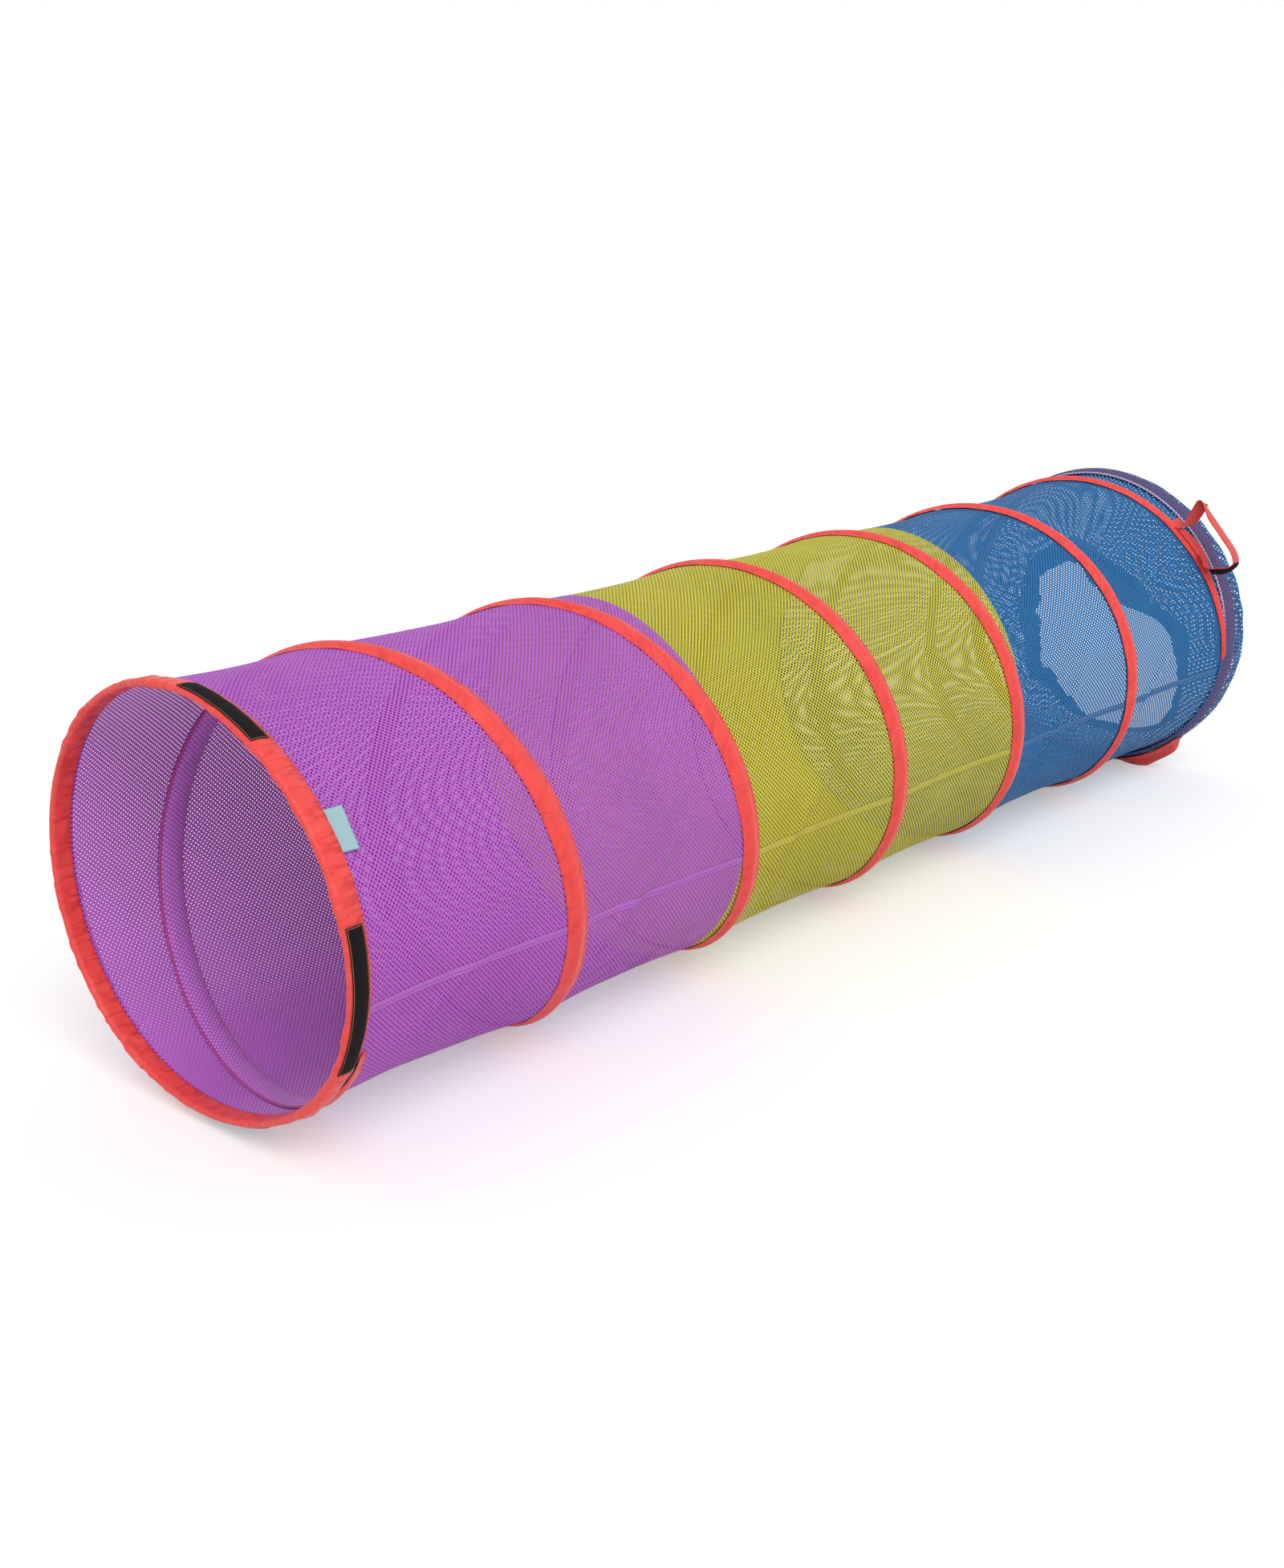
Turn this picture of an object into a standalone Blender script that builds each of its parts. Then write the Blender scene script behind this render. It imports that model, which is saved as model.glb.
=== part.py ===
"""Crawl-through play tunnel: a spring-wire coil between two end hoops, inside three lengths of mesh cloth."""

import math

import bmesh
import bpy
from mathutils import Matrix, Vector

# The axis of the tunnel runs along +X from the front hoop to the rear hoop, and +Z is up.
# Angles are taken about that axis from the near side (-Y), rising to 90 degrees at the top.

# Driving sizes, in metres
PANEL_LENGTH = 0.610  # each of the three mesh lengths
HOOP_RADIUS = 0.2382  # centre line of hoops and coil
WIRE_RADIUS = 0.0015
CLEARANCE = 0.0003  # left between pieces that touch
MESH_CLOTH = 0.0010
SLEEVE_CLOTH = 0.0011
SLEEVE_WIDTH = 0.024
TAPE_CLOTH = 0.0009
TAPE_WIDTH = 0.024
SKIRT_CLOTH = 0.0012
CRIMP_WALL = 0.0007
CRIMP_LENGTH = 0.020
FLATNESS = 0.000002  # a quad bent by less counts as flat

PANELS = 3
FLATS = 40  # flats round one turn, one of them lying level at the bottom
STEP = math.tau / FLATS

# Where the coil passes the near side and the far side, every half turn, as shares of the hoop distance
CROSSING_SHARES = (0.0, 0.078, 0.167, 0.238, 0.326, 0.416, 0.493, 0.578, 0.648, 0.741, 0.825, 0.917, 0.985, 1.065)
COIL_START_TURN = -0.0625
COIL_END_TURN = 6.1375
TAPE_CUT_TURN = 0.3875  # tape lengths meet here in each turn, low on the far side
TAPE_LENGTHS = 6

HOOP_DISTANCE = PANELS * PANEL_LENGTH
MESH_OUTER = HOOP_RADIUS - WIRE_RADIUS - CLEARANCE
MESH_INNER = MESH_OUTER - MESH_CLOTH
SLEEVE_PLAY = CLEARANCE + CRIMP_WALL + CLEARANCE
SLEEVE_OUTER = HOOP_RADIUS + WIRE_RADIUS + SLEEVE_PLAY + SLEEVE_CLOTH
SLEEVE_NOSE = WIRE_RADIUS + SLEEVE_PLAY + SLEEVE_CLOTH
SLEEVE_INNER = MESH_INNER - CLEARANCE - SLEEVE_CLOTH
OUTERMOST = SLEEVE_OUTER + CLEARANCE + SKIRT_CLOTH
AXIS_HEIGHT = OUTERMOST * math.cos(STEP / 2)

# The skirt bulges past the rear hoop, most at the lower near side
FOLD_BULGE = 0.013
FOLD_BULGE_EXTRA = 0.014
FOLD_BULGE_ANGLE = math.radians(-40)
SKIRT_SETBACK = 0.002  # from the sleeve's edge
SLEEVE_SLOPE_START_SHARE = 0.33  # of the sleeve's width
HEM_DEPTH = 0.053  # from the rear hoop into the tunnel
HEM_WIDTH = 0.018
FOLD_WAVE = 0.006
FOLDS = 7
HEM_SHARES = (0.63, 0.35, 0.27, 0.34, 0.40, 0.40, 0.34, 0.38, 0.46, 0.59, 0.80, 0.86)  # of the hoop radius

REAR_REACH = FOLD_BULGE + FOLD_BULGE_EXTRA + SKIRT_CLOTH
MIDDLE = (HOOP_DISTANCE + REAR_REACH - SLEEVE_NOSE) / 2
AXIS_SIDE = 0.0090  # the axis lies this far to the far side, as the upper strap loop stands out on the near side

# Borders between the mesh lengths lie askew: place in panel lengths, slope to the far side, slope upwards
BORDER_SHARES = ((0.984, 0.072, -0.090), (1.997, 0.119, -0.044))

SEAM_ANGLE = math.radians(-12)
SEAM_WIDTH = 0.012
SEAM_RISE = 0.0008

STRIP_CLOTH = 0.0012
STRIP_SHORT = 0.115
STRIP_MEDIUM = 0.127
STRIP_LONG = 0.160
STRIPS = {  # angle and length
    "strip_top": (72, STRIP_SHORT),
    "strip_near": (-9, STRIP_LONG),
    "strip_bottom": (-81, STRIP_MEDIUM),
    "strip_far": (171, STRIP_MEDIUM),
}
STRIP_MARGIN = 0.002

LABEL_LENGTH = 0.034
LABEL_HEIGHT = 0.043
LABEL_CLOTH = 0.0008
LABEL_ANGLE = math.radians(31.5)

STRAP_WIDTH = 0.020
STRAP_CLOTH = 0.0012
STRAP_TAB_GAP = 0.0006
STRAP_SAMPLES = 4  # between two points of the route
HOOK_CLOTH = 0.0012
HOOK_WIDTH = 0.016

# Routes of the strap loops, as an angle in degrees and a height over the cloth in shares of the loop's height
UPPER_LOOP_HEIGHT = 0.055
UPPER_LOOP_SHARES = (
    (56.5, 0), (53.5, 0), (51.2, 0.10), (50.2, 0.42), (48.8, 0.88), (46.5, 1.0), (41.0, 0.95), (35.5, 0.96),
    (30.0, 0.98), (26.9, 0.88), (25.9, 0.66), (26.4, 0.38), (27.6, 0.13), (29.8, 0), (32.5, 0), (35.0, 0),
)
UPPER_HOOK_SPAN = (9, 12)  # points of the route between which the hook pad lies
LOWER_LOOP_HEIGHT = 0.041
LOWER_LOOP_SHARES = (
    (-45.5, 0), (-48.5, 0), (-51.0, 0.09), (-52.6, 0.38), (-54.0, 0.78), (-56.2, 1.0), (-59.2, 0.86), (-63.0, 0.62),
    (-67.0, 0.41), (-70.0, 0.25), (-72.4, 0.08), (-75.0, 0), (-77.5, 0),
)
LOWER_HOOK_SPAN = (6, 9)

COLORS = {
    "red": (0.86, 0.060, 0.055),
    "violet": (0.30, 0.045, 0.47),
    "lime": (0.42, 0.43, 0.040),
    "blue": (0.035, 0.15, 0.42),
    "black": (0.018, 0.016, 0.018),
    "label": (0.40, 0.70, 0.76),
    "steel": (0.45, 0.46, 0.47),
}


def clear_scene():
    for item in list(bpy.data.objects):
        bpy.data.objects.remove(item, do_unlink=True)


def material(name, color, roughness=0.8, metallic=0.0):
    made = bpy.data.materials.new(name)
    made.use_nodes = True
    shader = made.node_tree.nodes["Principled BSDF"]
    shader.inputs["Base Color"].default_value = (*COLORS[color], 1)
    shader.inputs["Roughness"].default_value = roughness
    shader.inputs["Metallic"].default_value = metallic
    return made


def flat_radius(angle, radius):
    """Distance from the axis of a point on the many-sided outline whose corners are at this radius."""
    off = (angle + STEP / 2) % STEP - STEP / 2  # from the middle of its flat
    return radius * math.cos(STEP / 2) / math.cos(off)


def point(x, angle, radius):
    """A place in the tunnel: x from the front hoop, angle about the axis, corner radius of its outline."""
    reach = flat_radius(angle, radius)
    return Vector((x - MIDDLE, AXIS_SIDE - reach * math.cos(angle), AXIS_HEIGHT + reach * math.sin(angle)))


def corner_angle(index):
    return (index + 0.5) * STEP


def finish(name, bm, mat, sharp=35):
    bmesh.ops.recalc_face_normals(bm, faces=bm.faces)
    mesh = bpy.data.meshes.new(name)
    bm.to_mesh(mesh)
    bm.free()
    mesh.shade_smooth()
    mesh.set_sharp_from_angle(angle=math.radians(sharp))
    made = bpy.data.objects.new(name, mesh)
    made.data.materials.append(mat)
    bpy.context.collection.objects.link(made)
    return made


def add_quad(bm, a, b, c, d):
    """A twisted quad is split along its shorter diagonal, so that cloths lying on each other bend alike."""
    across, along = (c.co - a.co), (d.co - b.co)
    normal = across.cross(along).normalized()
    twist = abs(normal.dot(b.co - a.co))
    if twist < FLATNESS:
        bm.faces.new((a, b, c, d))
    elif across.length < along.length:
        bm.faces.new((a, b, c))
        bm.faces.new((a, c, d))
    else:
        bm.faces.new((a, b, d))
        bm.faces.new((b, c, d))


def skin_rings(bm, rings, closed):
    """Joins rings of points into one closed body; the rings themselves close, or the ends are capped."""
    made = [[bm.verts.new(p) for p in ring] for ring in rings]
    count = len(made[0])
    pairs = list(zip(made, made[1:]))
    if closed:
        pairs.append((made[-1], made[0]))
    for first, second in pairs:
        for i in range(count):
            j = (i + 1) % count
            add_quad(bm, first[i], first[j], second[j], second[i])
    if not closed:
        bm.faces.new(made[0])
        bm.faces.new(list(reversed(made[-1])))


def sweep(name, stations, section, mat, closed=False, sharp=35):
    """Carries a section of (x, radius) points through stations of (angle, x)."""
    bm = bmesh.new()
    skin_rings(bm, [[point(x + dx, angle, r) for dx, r in section(angle, x)] for angle, x in stations], closed)
    return finish(name, bm, mat, sharp)


def hoop_stations(x):
    return [(corner_angle(i), x) for i in range(FLATS)]


WIRE_SIDES = 6


def round_section(angle, x):
    turns = [math.tau * i / WIRE_SIDES for i in range(WIRE_SIDES)]
    return [(WIRE_RADIUS * math.cos(a), HOOP_RADIUS + WIRE_RADIUS * math.sin(a)) for a in turns]


# The coil

LEAD_OFFSET = 2 * WIRE_RADIUS + 2 * CLEARANCE  # the coil's ends run beside the hoops
LEAD_BLEND = 0.006


def free_coil_x(turn):
    """Smooth curve through the crossings, before the ends are laid along the hoops."""
    place = min(max(2 * turn, 0.0), len(CROSSING_SHARES) - 1.001)
    i = int(place)
    f = place - i
    shares = CROSSING_SHARES
    before = shares[i - 1] if i else 2 * shares[0] - shares[1]
    after = shares[i + 2] if i + 2 < len(shares) else 2 * shares[-1] - shares[-2]
    a, b = shares[i], shares[i + 1]
    slope_a, slope_b = (b - before) / 2, (after - a) / 2
    share = (
        (2 * f**3 - 3 * f**2 + 1) * a + (f**3 - 2 * f**2 + f) * slope_a
        + (3 * f**2 - 2 * f**3) * b + (f**3 - f**2) * slope_b
    )
    share += min(2 * turn, 0.0) * slope_a  # straight on before the first crossing
    return share * HOOP_DISTANCE


def upper_of(a, b, soft):
    return (a + b + math.hypot(a - b, soft)) / 2


def coil_x(turn):
    x = upper_of(free_coil_x(turn), LEAD_OFFSET, LEAD_BLEND)
    return -upper_of(-x, LEAD_OFFSET - HOOP_DISTANCE, LEAD_BLEND)


def coil_stations(first, last):
    """Corner angles from one turn value to another, turning from the top over the near side and down."""
    count = round((last - first) * FLATS)
    turns = [first + i / FLATS for i in range(count + 1)]
    return [(-math.tau * t, coil_x(t)) for t in turns]


def snap(turn):
    """The nearest turn value at a corner of the outline."""
    return (math.floor(turn * FLATS) + 0.5) / FLATS


def make_coil(mat):
    stations = coil_stations(snap(COIL_START_TURN), snap(COIL_END_TURN))
    made = sweep("coil_wire", stations, round_section, mat, sharp=80)
    per_turn = FLATS
    gaps = []
    for i, (angle, x) in enumerate(stations):
        for j in (i + per_turn - 1, i + per_turn, i + per_turn + 1):
            if j < len(stations):
                there = point(stations[j][1], stations[j][0], HOOP_RADIUS)
                gaps.append((point(x, angle, HOOP_RADIUS) - there).length - 2 * WIRE_RADIUS)
    hoops = [
        min(abs(x), abs(HOOP_DISTANCE - x)) - 2 * WIRE_RADIUS for angle, x in stations
    ]
    print(f"coil: least gap to itself {1000 * min(gaps):.1f} mm, to a hoop {1000 * min(hoops):.2f} mm")
    return made


def crimp_span(turn):
    """The two ends of a crimp in the middle of the flat that holds this turn value."""
    middle = round(-turn * FLATS)
    half = CRIMP_LENGTH / HOOP_RADIUS / 2
    return middle * STEP - half, middle * STEP + half


def make_crimp(name, turn, hoop_x, side, mat):
    """Flat-oval steel sleeve squeezed round the hoop and the coil's end; side is +1 where the coil leaves to +X."""
    angles = crimp_span(turn)
    corners = (snap(turn - 0.5 / FLATS), snap(turn + 0.5 / FLATS), snap(turn))
    lead = max(abs(coil_x(t) - hoop_x) for t in corners)
    sides = 6

    def oval(grow):
        r = WIRE_RADIUS + grow
        ends = [(math.pi / 2 + math.pi * i / sides, 0.0) for i in range(sides + 1)]
        ends += [(-math.pi / 2 + math.pi * i / sides, lead) for i in range(sides + 1)]
        return [(side * (at + r * math.cos(a)), HOOP_RADIUS + r * math.sin(a)) for a, at in ends]

    bm = bmesh.new()
    loops = []
    for grow in (CLEARANCE + CRIMP_WALL, CLEARANCE):
        loops.append(
            [[bm.verts.new(point(hoop_x + dx, angle, r)) for dx, r in oval(grow)] for angle in angles]
        )
    (outer_a, outer_b), (inner_a, inner_b) = loops
    count = len(outer_a)
    for i in range(count):
        j = (i + 1) % count
        for a, b in ((outer_a, outer_b), (outer_b, inner_b), (inner_b, inner_a), (inner_a, outer_a)):
            bm.faces.new((a[i], a[j], b[j], b[i]))
    return finish(name, bm, mat), lead


# The mesh lengths

def level(x):
    """An end of a mesh length that lies square across the tunnel."""
    return lambda angle, radius: x


def askew(which, gap):
    """An end of a mesh length that lies along a border with the next one."""
    share, aside, upward = BORDER_SHARES[which]

    def along(angle, radius):
        reach = flat_radius(angle, radius)
        return share * PANEL_LENGTH + gap - aside * reach * math.cos(angle) + upward * reach * math.sin(angle)

    return along


def make_panel(name, start, end, seam_start, seam_end, mat):
    """Tube of mesh cloth with a flat-felled seam that stands in along it, left out under the sleeves."""
    half = SEAM_WIDTH / 2 / MESH_INNER
    step_in = SEAM_RISE / MESH_INNER
    seam = [SEAM_ANGLE - half - step_in, SEAM_ANGLE - half, SEAM_ANGLE + half, SEAM_ANGLE + half + step_in]
    corners = [corner_angle(i) for i in range(FLATS)]
    angles = sorted({round(a % math.tau, 9) for a in corners + seam})
    raised = {round(a % math.tau, 9) for a in seam[1:3]}
    low, high = seam[1] % math.tau, seam[2] % math.tau

    def depth(angle):
        return SEAM_RISE if angle in raised or low < angle < high else 0.0

    stations = [(start, 1)]
    if seam_start:
        stations = [(start, 0), (level(seam_start), 0), (level(seam_start + SEAM_RISE), 1)]
    if seam_end:
        stations += [(level(seam_end - SEAM_RISE), 1), (level(seam_end), 0), (end, 0)]
    else:
        stations.append((end, 1))

    def ring(place, radii):
        return [bm.verts.new(point(place(a, r), a, r)) for a, r in zip(angles, radii)]

    bm = bmesh.new()
    outer = [ring(place, [MESH_OUTER] * len(angles)) for place, rib in stations]
    inner = [ring(place, [MESH_INNER - rib * depth(a) for a in angles]) for place, rib in stations]
    loops = outer + list(reversed(inner))
    for first, second in zip(loops, loops[1:] + loops[:1]):
        for i in range(len(angles)):
            j = (i + 1) % len(angles)
            bm.faces.new((first[i], first[j], second[j], second[i]))
    return finish(name, bm, mat)


# The end sleeves

LIFT_RAMP = math.radians(16)


def corner_lift(index, span):
    low, high = span
    middle, half = (low + high) / 2, (high - low) / 2
    off = abs((corner_angle(index) - middle + math.pi) % math.tau - math.pi) - half
    share = min(max(1 - off / LIFT_RAMP, 0.0), 1.0)
    return share * share * (3 - 2 * share)


def lift(angle, span):
    """1 where the coil runs out under the sleeve's edge, 0 elsewhere, and even along each flat."""
    place = angle / STEP - 0.5
    index = math.floor(place)
    share = place - index
    return (1 - share) * corner_lift(index, span) + share * corner_lift(index + 1, span)


FRONT_LIFT = (math.radians(-38), math.radians(14))  # also under the near strip, which lies on it
REAR_LIFT = (math.radians(-34), math.radians(8))
CAVITY_OUTER = SLEEVE_OUTER - SLEEVE_CLOTH
SLOPE_START = SLEEVE_SLOPE_START_SHARE * SLEEVE_WIDTH


def edge_radius(angle, span):
    """Outer radius of the sleeve at its edge, where it is sewn down to the mesh."""
    low = MESH_OUTER + CLEARANCE
    return low + (CAVITY_OUTER - low) * lift(angle, span) + SLEEVE_CLOTH


def sleeve_top(angle, dx, span):
    """Outer radius of the sleeve at a distance from its hoop towards the tunnel's middle."""
    share = min(max((dx - SLOPE_START) / (SLEEVE_WIDTH - SLOPE_START), 0.0), 1.0)
    return SLEEVE_OUTER + (edge_radius(angle, span) - SLEEVE_OUTER) * share


def sleeve_section(side, span):
    """Cloth folded round the hoop: one leaf over the mesh, one inside it."""
    nose = SLEEVE_NOSE
    cavity_nose = nose - SLEEVE_CLOTH
    cavity_inner = SLEEVE_INNER + SLEEVE_CLOTH
    bend = WIRE_RADIUS + CLEARANCE
    inner_bend = WIRE_RADIUS

    def section(angle, x):
        edge = edge_radius(angle, span)
        points = [
            (SLEEVE_WIDTH, edge), (SLOPE_START, SLEEVE_OUTER), (bend - nose, SLEEVE_OUTER),
            (-nose, SLEEVE_OUTER - bend), (-nose, SLEEVE_INNER + bend), (bend - nose, SLEEVE_INNER),
            (SLEEVE_WIDTH, SLEEVE_INNER), (SLEEVE_WIDTH, cavity_inner), (inner_bend - cavity_nose, cavity_inner),
            (-cavity_nose, cavity_inner + inner_bend), (-cavity_nose, CAVITY_OUTER - inner_bend),
            (inner_bend - cavity_nose, CAVITY_OUTER), (SLOPE_START, CAVITY_OUTER),
            (SLEEVE_WIDTH, edge - SLEEVE_CLOTH),
        ]
        return [(side * dx, r) for dx, r in points]

    return section


def make_strip(name, middle, length, mat):
    """Hook-and-loop strip on the outside of the front sleeve."""
    half = length / SLEEVE_OUTER / 2
    start, end = math.radians(middle) - half, math.radians(middle) + half
    corners = [corner_angle(i) for i in range(-FLATS, FLATS)]
    stations = [(a, 0.0) for a in [start] + [c for c in corners if start < c < end] + [end]]

    def section(angle, x):
        places = (STRIP_MARGIN - WIRE_RADIUS, SLOPE_START, SLEEVE_WIDTH - STRIP_MARGIN)
        low = [(dx, sleeve_top(angle, dx, FRONT_LIFT) + CLEARANCE) for dx in places]
        return low + [(dx, r + STRIP_CLOTH) for dx, r in reversed(low)]

    return sweep(name, stations, section, mat)


# The tape over the coil

CLEAR_RADIUS = WIRE_RADIUS + CLEARANCE
TAPE_BASE = MESH_OUTER + CLEARANCE
HUMP_FOOT_SHARE, HUMP_CROWN_SHARE, HUMP_TOP_SHARE = 1.30, 0.75, 1.03  # of the clear radius
HUMP_CORNER_SHARE = 0.6  # of the cloth
HUMP_FOOT = HUMP_FOOT_SHARE * CLEAR_RADIUS
HUMP_CROWN = HUMP_CROWN_SHARE * CLEAR_RADIUS
TAPE_TOP = HOOP_RADIUS + HUMP_TOP_SHARE * CLEAR_RADIUS + TAPE_CLOTH


def tape_section(angle, x):
    """Flat tape with a hump over the wire, trimmed where it runs under a sleeve's edge."""
    half = TAPE_WIDTH / 2
    foot, crown = HUMP_FOOT + TAPE_CLOTH, HUMP_CROWN + HUMP_CORNER_SHARE * TAPE_CLOTH
    low_leaf, high_leaf = TAPE_BASE, TAPE_BASE + TAPE_CLOTH
    points = [
        (-half, high_leaf), (-foot, high_leaf), (-crown, TAPE_TOP), (crown, TAPE_TOP), (foot, high_leaf),
        (half, high_leaf), (half, low_leaf), (HUMP_FOOT, low_leaf), (HUMP_CROWN, TAPE_TOP - TAPE_CLOTH),
        (-HUMP_CROWN, TAPE_TOP - TAPE_CLOTH), (-HUMP_FOOT, low_leaf), (-half, low_leaf),
    ]
    low = SLEEVE_WIDTH + CLEARANCE - x
    high = HOOP_DISTANCE - SLEEVE_WIDTH - CLEARANCE - x
    return [(min(max(dx, low), high) if abs(dx) == half else dx, r) for dx, r in points]


def tape_ends():
    """Turn values where the trimmed tape has just room beside the sleeves."""
    room = SLEEVE_WIDTH + HUMP_FOOT + TAPE_CLOTH + CLEARANCE
    turns = [(i + 0.5) / FLATS for i in range(int(COIL_END_TURN * FLATS))]
    inside = [t for t in turns if room < coil_x(t) < HOOP_DISTANCE - room]
    return inside[0], inside[-1]


def make_tape(mat):
    first, last = tape_ends()
    cuts = [first] + [snap(TAPE_CUT_TURN + i) for i in range(1, TAPE_LENGTHS)] + [last]
    made = []
    for i, (a, b) in enumerate(zip(cuts, cuts[1:])):
        name = f"tape_{i + 1}"
        stations = coil_stations(a, b)
        if i:
            # a hair's breadth back from the length before it
            (angle, x), (after, x_after) = stations[:2]
            share = CLEARANCE / (STEP * HOOP_RADIUS)
            stations[0] = (angle + (after - angle) * share, x + (x_after - x) * share)
        made.append(sweep(name, stations, tape_section, mat))
    return made


# The skirt at the rear, turned in round the hoop and tucked into the tunnel

def round_blend(shares, angle):
    """Smooth closed curve through evenly spaced shares."""
    place = (angle / math.tau % 1.0) * len(shares)
    i = int(place) % len(shares)
    f = place - int(place)
    n = len(shares)
    p, a, b, q = (shares[(i + k) % n] for k in (-1, 0, 1, 2))
    return (
        (2 * f**3 - 3 * f**2 + 1) * a + (f**3 - 2 * f**2 + f) * (b - p) / 2
        + (3 * f**2 - 2 * f**3) * b + (f**3 - f**2) * (q - a) / 2
    )


def skirt_path(angle):
    """(x from the rear hoop, radius, cloth thickness) along the cloth, from outside to hem."""
    cloth = SKIRT_CLOTH
    over = CLEARANCE + cloth / 2
    start = SLEEVE_WIDTH - SKIRT_SETBACK
    top = SLEEVE_OUTER + over
    bottom = SLEEVE_INNER - over
    turn_x = WIRE_RADIUS
    bulge = FOLD_BULGE + FOLD_BULGE_EXTRA * (1 + math.cos(angle - FOLD_BULGE_ANGLE)) / 2
    path = [
        (-start, sleeve_top(angle, start, REAR_LIFT) + over, cloth),
        (-SLOPE_START, top, cloth),
    ]
    middle, reach = (top + bottom) / 2, (top - bottom) / 2
    for i in range(5):
        a = math.pi * i / 4
        path.append((turn_x + (bulge - turn_x) * math.sin(a), middle + reach * math.cos(a), cloth))
    hem_r = HOOP_RADIUS * round_blend(HEM_SHARES, angle)
    run_x, run_r = -HEM_DEPTH - turn_x, hem_r - bottom
    length = math.hypot(run_x, run_r)
    hem_share = 1 - HEM_WIDTH / length
    wave = FOLD_WAVE * math.cos(FOLDS * angle)
    for share, swing in ((0.34 * hem_share, 0.6), (0.68 * hem_share, 1.0)):
        path.append((turn_x + run_x * share + wave * swing, bottom + run_r * share, cloth))
    step = cloth / length
    for share, thick in ((hem_share, 1), (hem_share + step, 2), (1, 2)):
        path.append((turn_x + run_x * share + wave * 0.5, bottom + run_r * share, cloth * thick))
    return path


def skirt_ring(angle):
    path = skirt_path(angle)
    sides = ([], [])
    for i, (x, r, cloth) in enumerate(path):
        before, after = path[max(i - 1, 0)], path[min(i + 1, len(path) - 1)]
        run = Vector((after[0] - before[0], after[1] - before[1])).normalized()
        out = Vector((-run.y, run.x))
        for side, sign in zip(sides, (1, -1)):
            side.append((HOOP_DISTANCE + x + sign * out.x * cloth / 2, r + sign * out.y * cloth / 2))
    return sides[0] + list(reversed(sides[1]))


def make_skirt(mat):
    bm = bmesh.new()
    rings = [[point(x, corner_angle(i), r) for x, r in skirt_ring(corner_angle(i))] for i in range(FLATS)]
    skin_rings(bm, rings, closed=True)
    return finish("rear_skirt", bm, mat)


# The strap loops, each a webbing band that stands across the tunnel

def smooth_route(route, height, base):
    """Points (y, z) through the route, with its part of the way in route points."""
    nodes = []
    for degrees, share in route:
        a = math.radians(degrees)
        r = base + height * share
        nodes.append(Vector((AXIS_SIDE - r * math.cos(a), AXIS_HEIGHT + r * math.sin(a))))
    out = []
    for i in range(len(nodes) - 1):
        p = nodes[i - 1] if i else nodes[0] * 2 - nodes[1]
        q = nodes[i + 2] if i + 2 < len(nodes) else nodes[-1] * 2 - nodes[-2]
        a, b = nodes[i], nodes[i + 1]
        for k in range(STRAP_SAMPLES):
            f = k / STRAP_SAMPLES
            at = (
                a * (2 * f**3 - 3 * f**2 + 1) + (b - p) * ((f**3 - 2 * f**2 + f) / 2)
                + b * (3 * f**2 - 2 * f**3) + (q - a) * ((f**3 - f**2) / 2)
            )
            out.append((i + f, at))
    out.append((len(nodes) - 1.0, nodes[-1]))
    return out


def band(name, points, offset, cloth, width, x, pivot, mat):
    """Flat band along (y, z) points, moved sideways by the offset, about the pivot."""
    rings = []
    places = [p for _, p in points]
    for i, at in enumerate(places):
        run = (places[min(i + 1, len(places) - 1)] - places[max(i - 1, 0)]).normalized()
        out = Vector((-run.y, run.x))
        ring = []
        for shift, dx in (
            (-cloth / 2, -width / 2), (cloth / 2, -width / 2), (cloth / 2, width / 2), (-cloth / 2, width / 2)
        ):
            p = at + out * (offset + shift)
            ring.append(Vector((x - MIDDLE + dx, p.x, p.y)) - pivot)
        rings.append(ring)
    bm = bmesh.new()
    skin_rings(bm, rings, closed=False)
    return finish(name, bm, mat)


def make_strap(name, route, height, base, x, hook_span, hook_side, mats):
    """A strap loop with its hook pad; both hang from an empty on the line where the loop is sewn down."""
    base_line = base + STRAP_TAB_GAP + STRAP_CLOTH / 2
    points = smooth_route(route, height, base_line)
    ends = [math.radians(route[1][0]), math.radians(route[-2][0])]
    middle = sum(ends) / 2
    side, rise = base_line * math.cos(middle), base_line * math.sin(middle)
    pivot = Vector((x - MIDDLE, AXIS_SIDE - side, AXIS_HEIGHT + rise))
    carrier = bpy.data.objects.new(f"{name}_pivot", None)
    carrier.location = pivot
    bpy.context.collection.objects.link(carrier)
    low, high = hook_span
    part = [p for p in points if low <= p[0] <= high]
    strap = band(name, points, 0.0, STRAP_CLOTH, STRAP_WIDTH, x, pivot, mats[0])
    side = hook_side * (STRAP_CLOTH / 2 + CLEARANCE + HOOK_CLOTH / 2)
    hook = band(f"{name}_hook", part, side, HOOK_CLOTH, HOOK_WIDTH, x, pivot, mats[1])
    for piece in (strap, hook):
        piece.parent = carrier
    print(f"{name}: pivot {tuple(round(v, 5) for v in pivot)}, turned {math.degrees(middle):.2f} degrees round")
    return carrier


def carry(pieces, x):
    """Hangs pieces that slide together on an empty on the tunnel's axis."""
    place = Matrix.Translation((x, AXIS_SIDE, AXIS_HEIGHT))
    carrier = bpy.data.objects.new(f"{pieces[0].name}_carrier", None)
    carrier.matrix_world = place
    bpy.context.collection.objects.link(carrier)
    for piece in pieces:
        piece.parent = carrier
        piece.matrix_parent_inverse = place.inverted()


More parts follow.
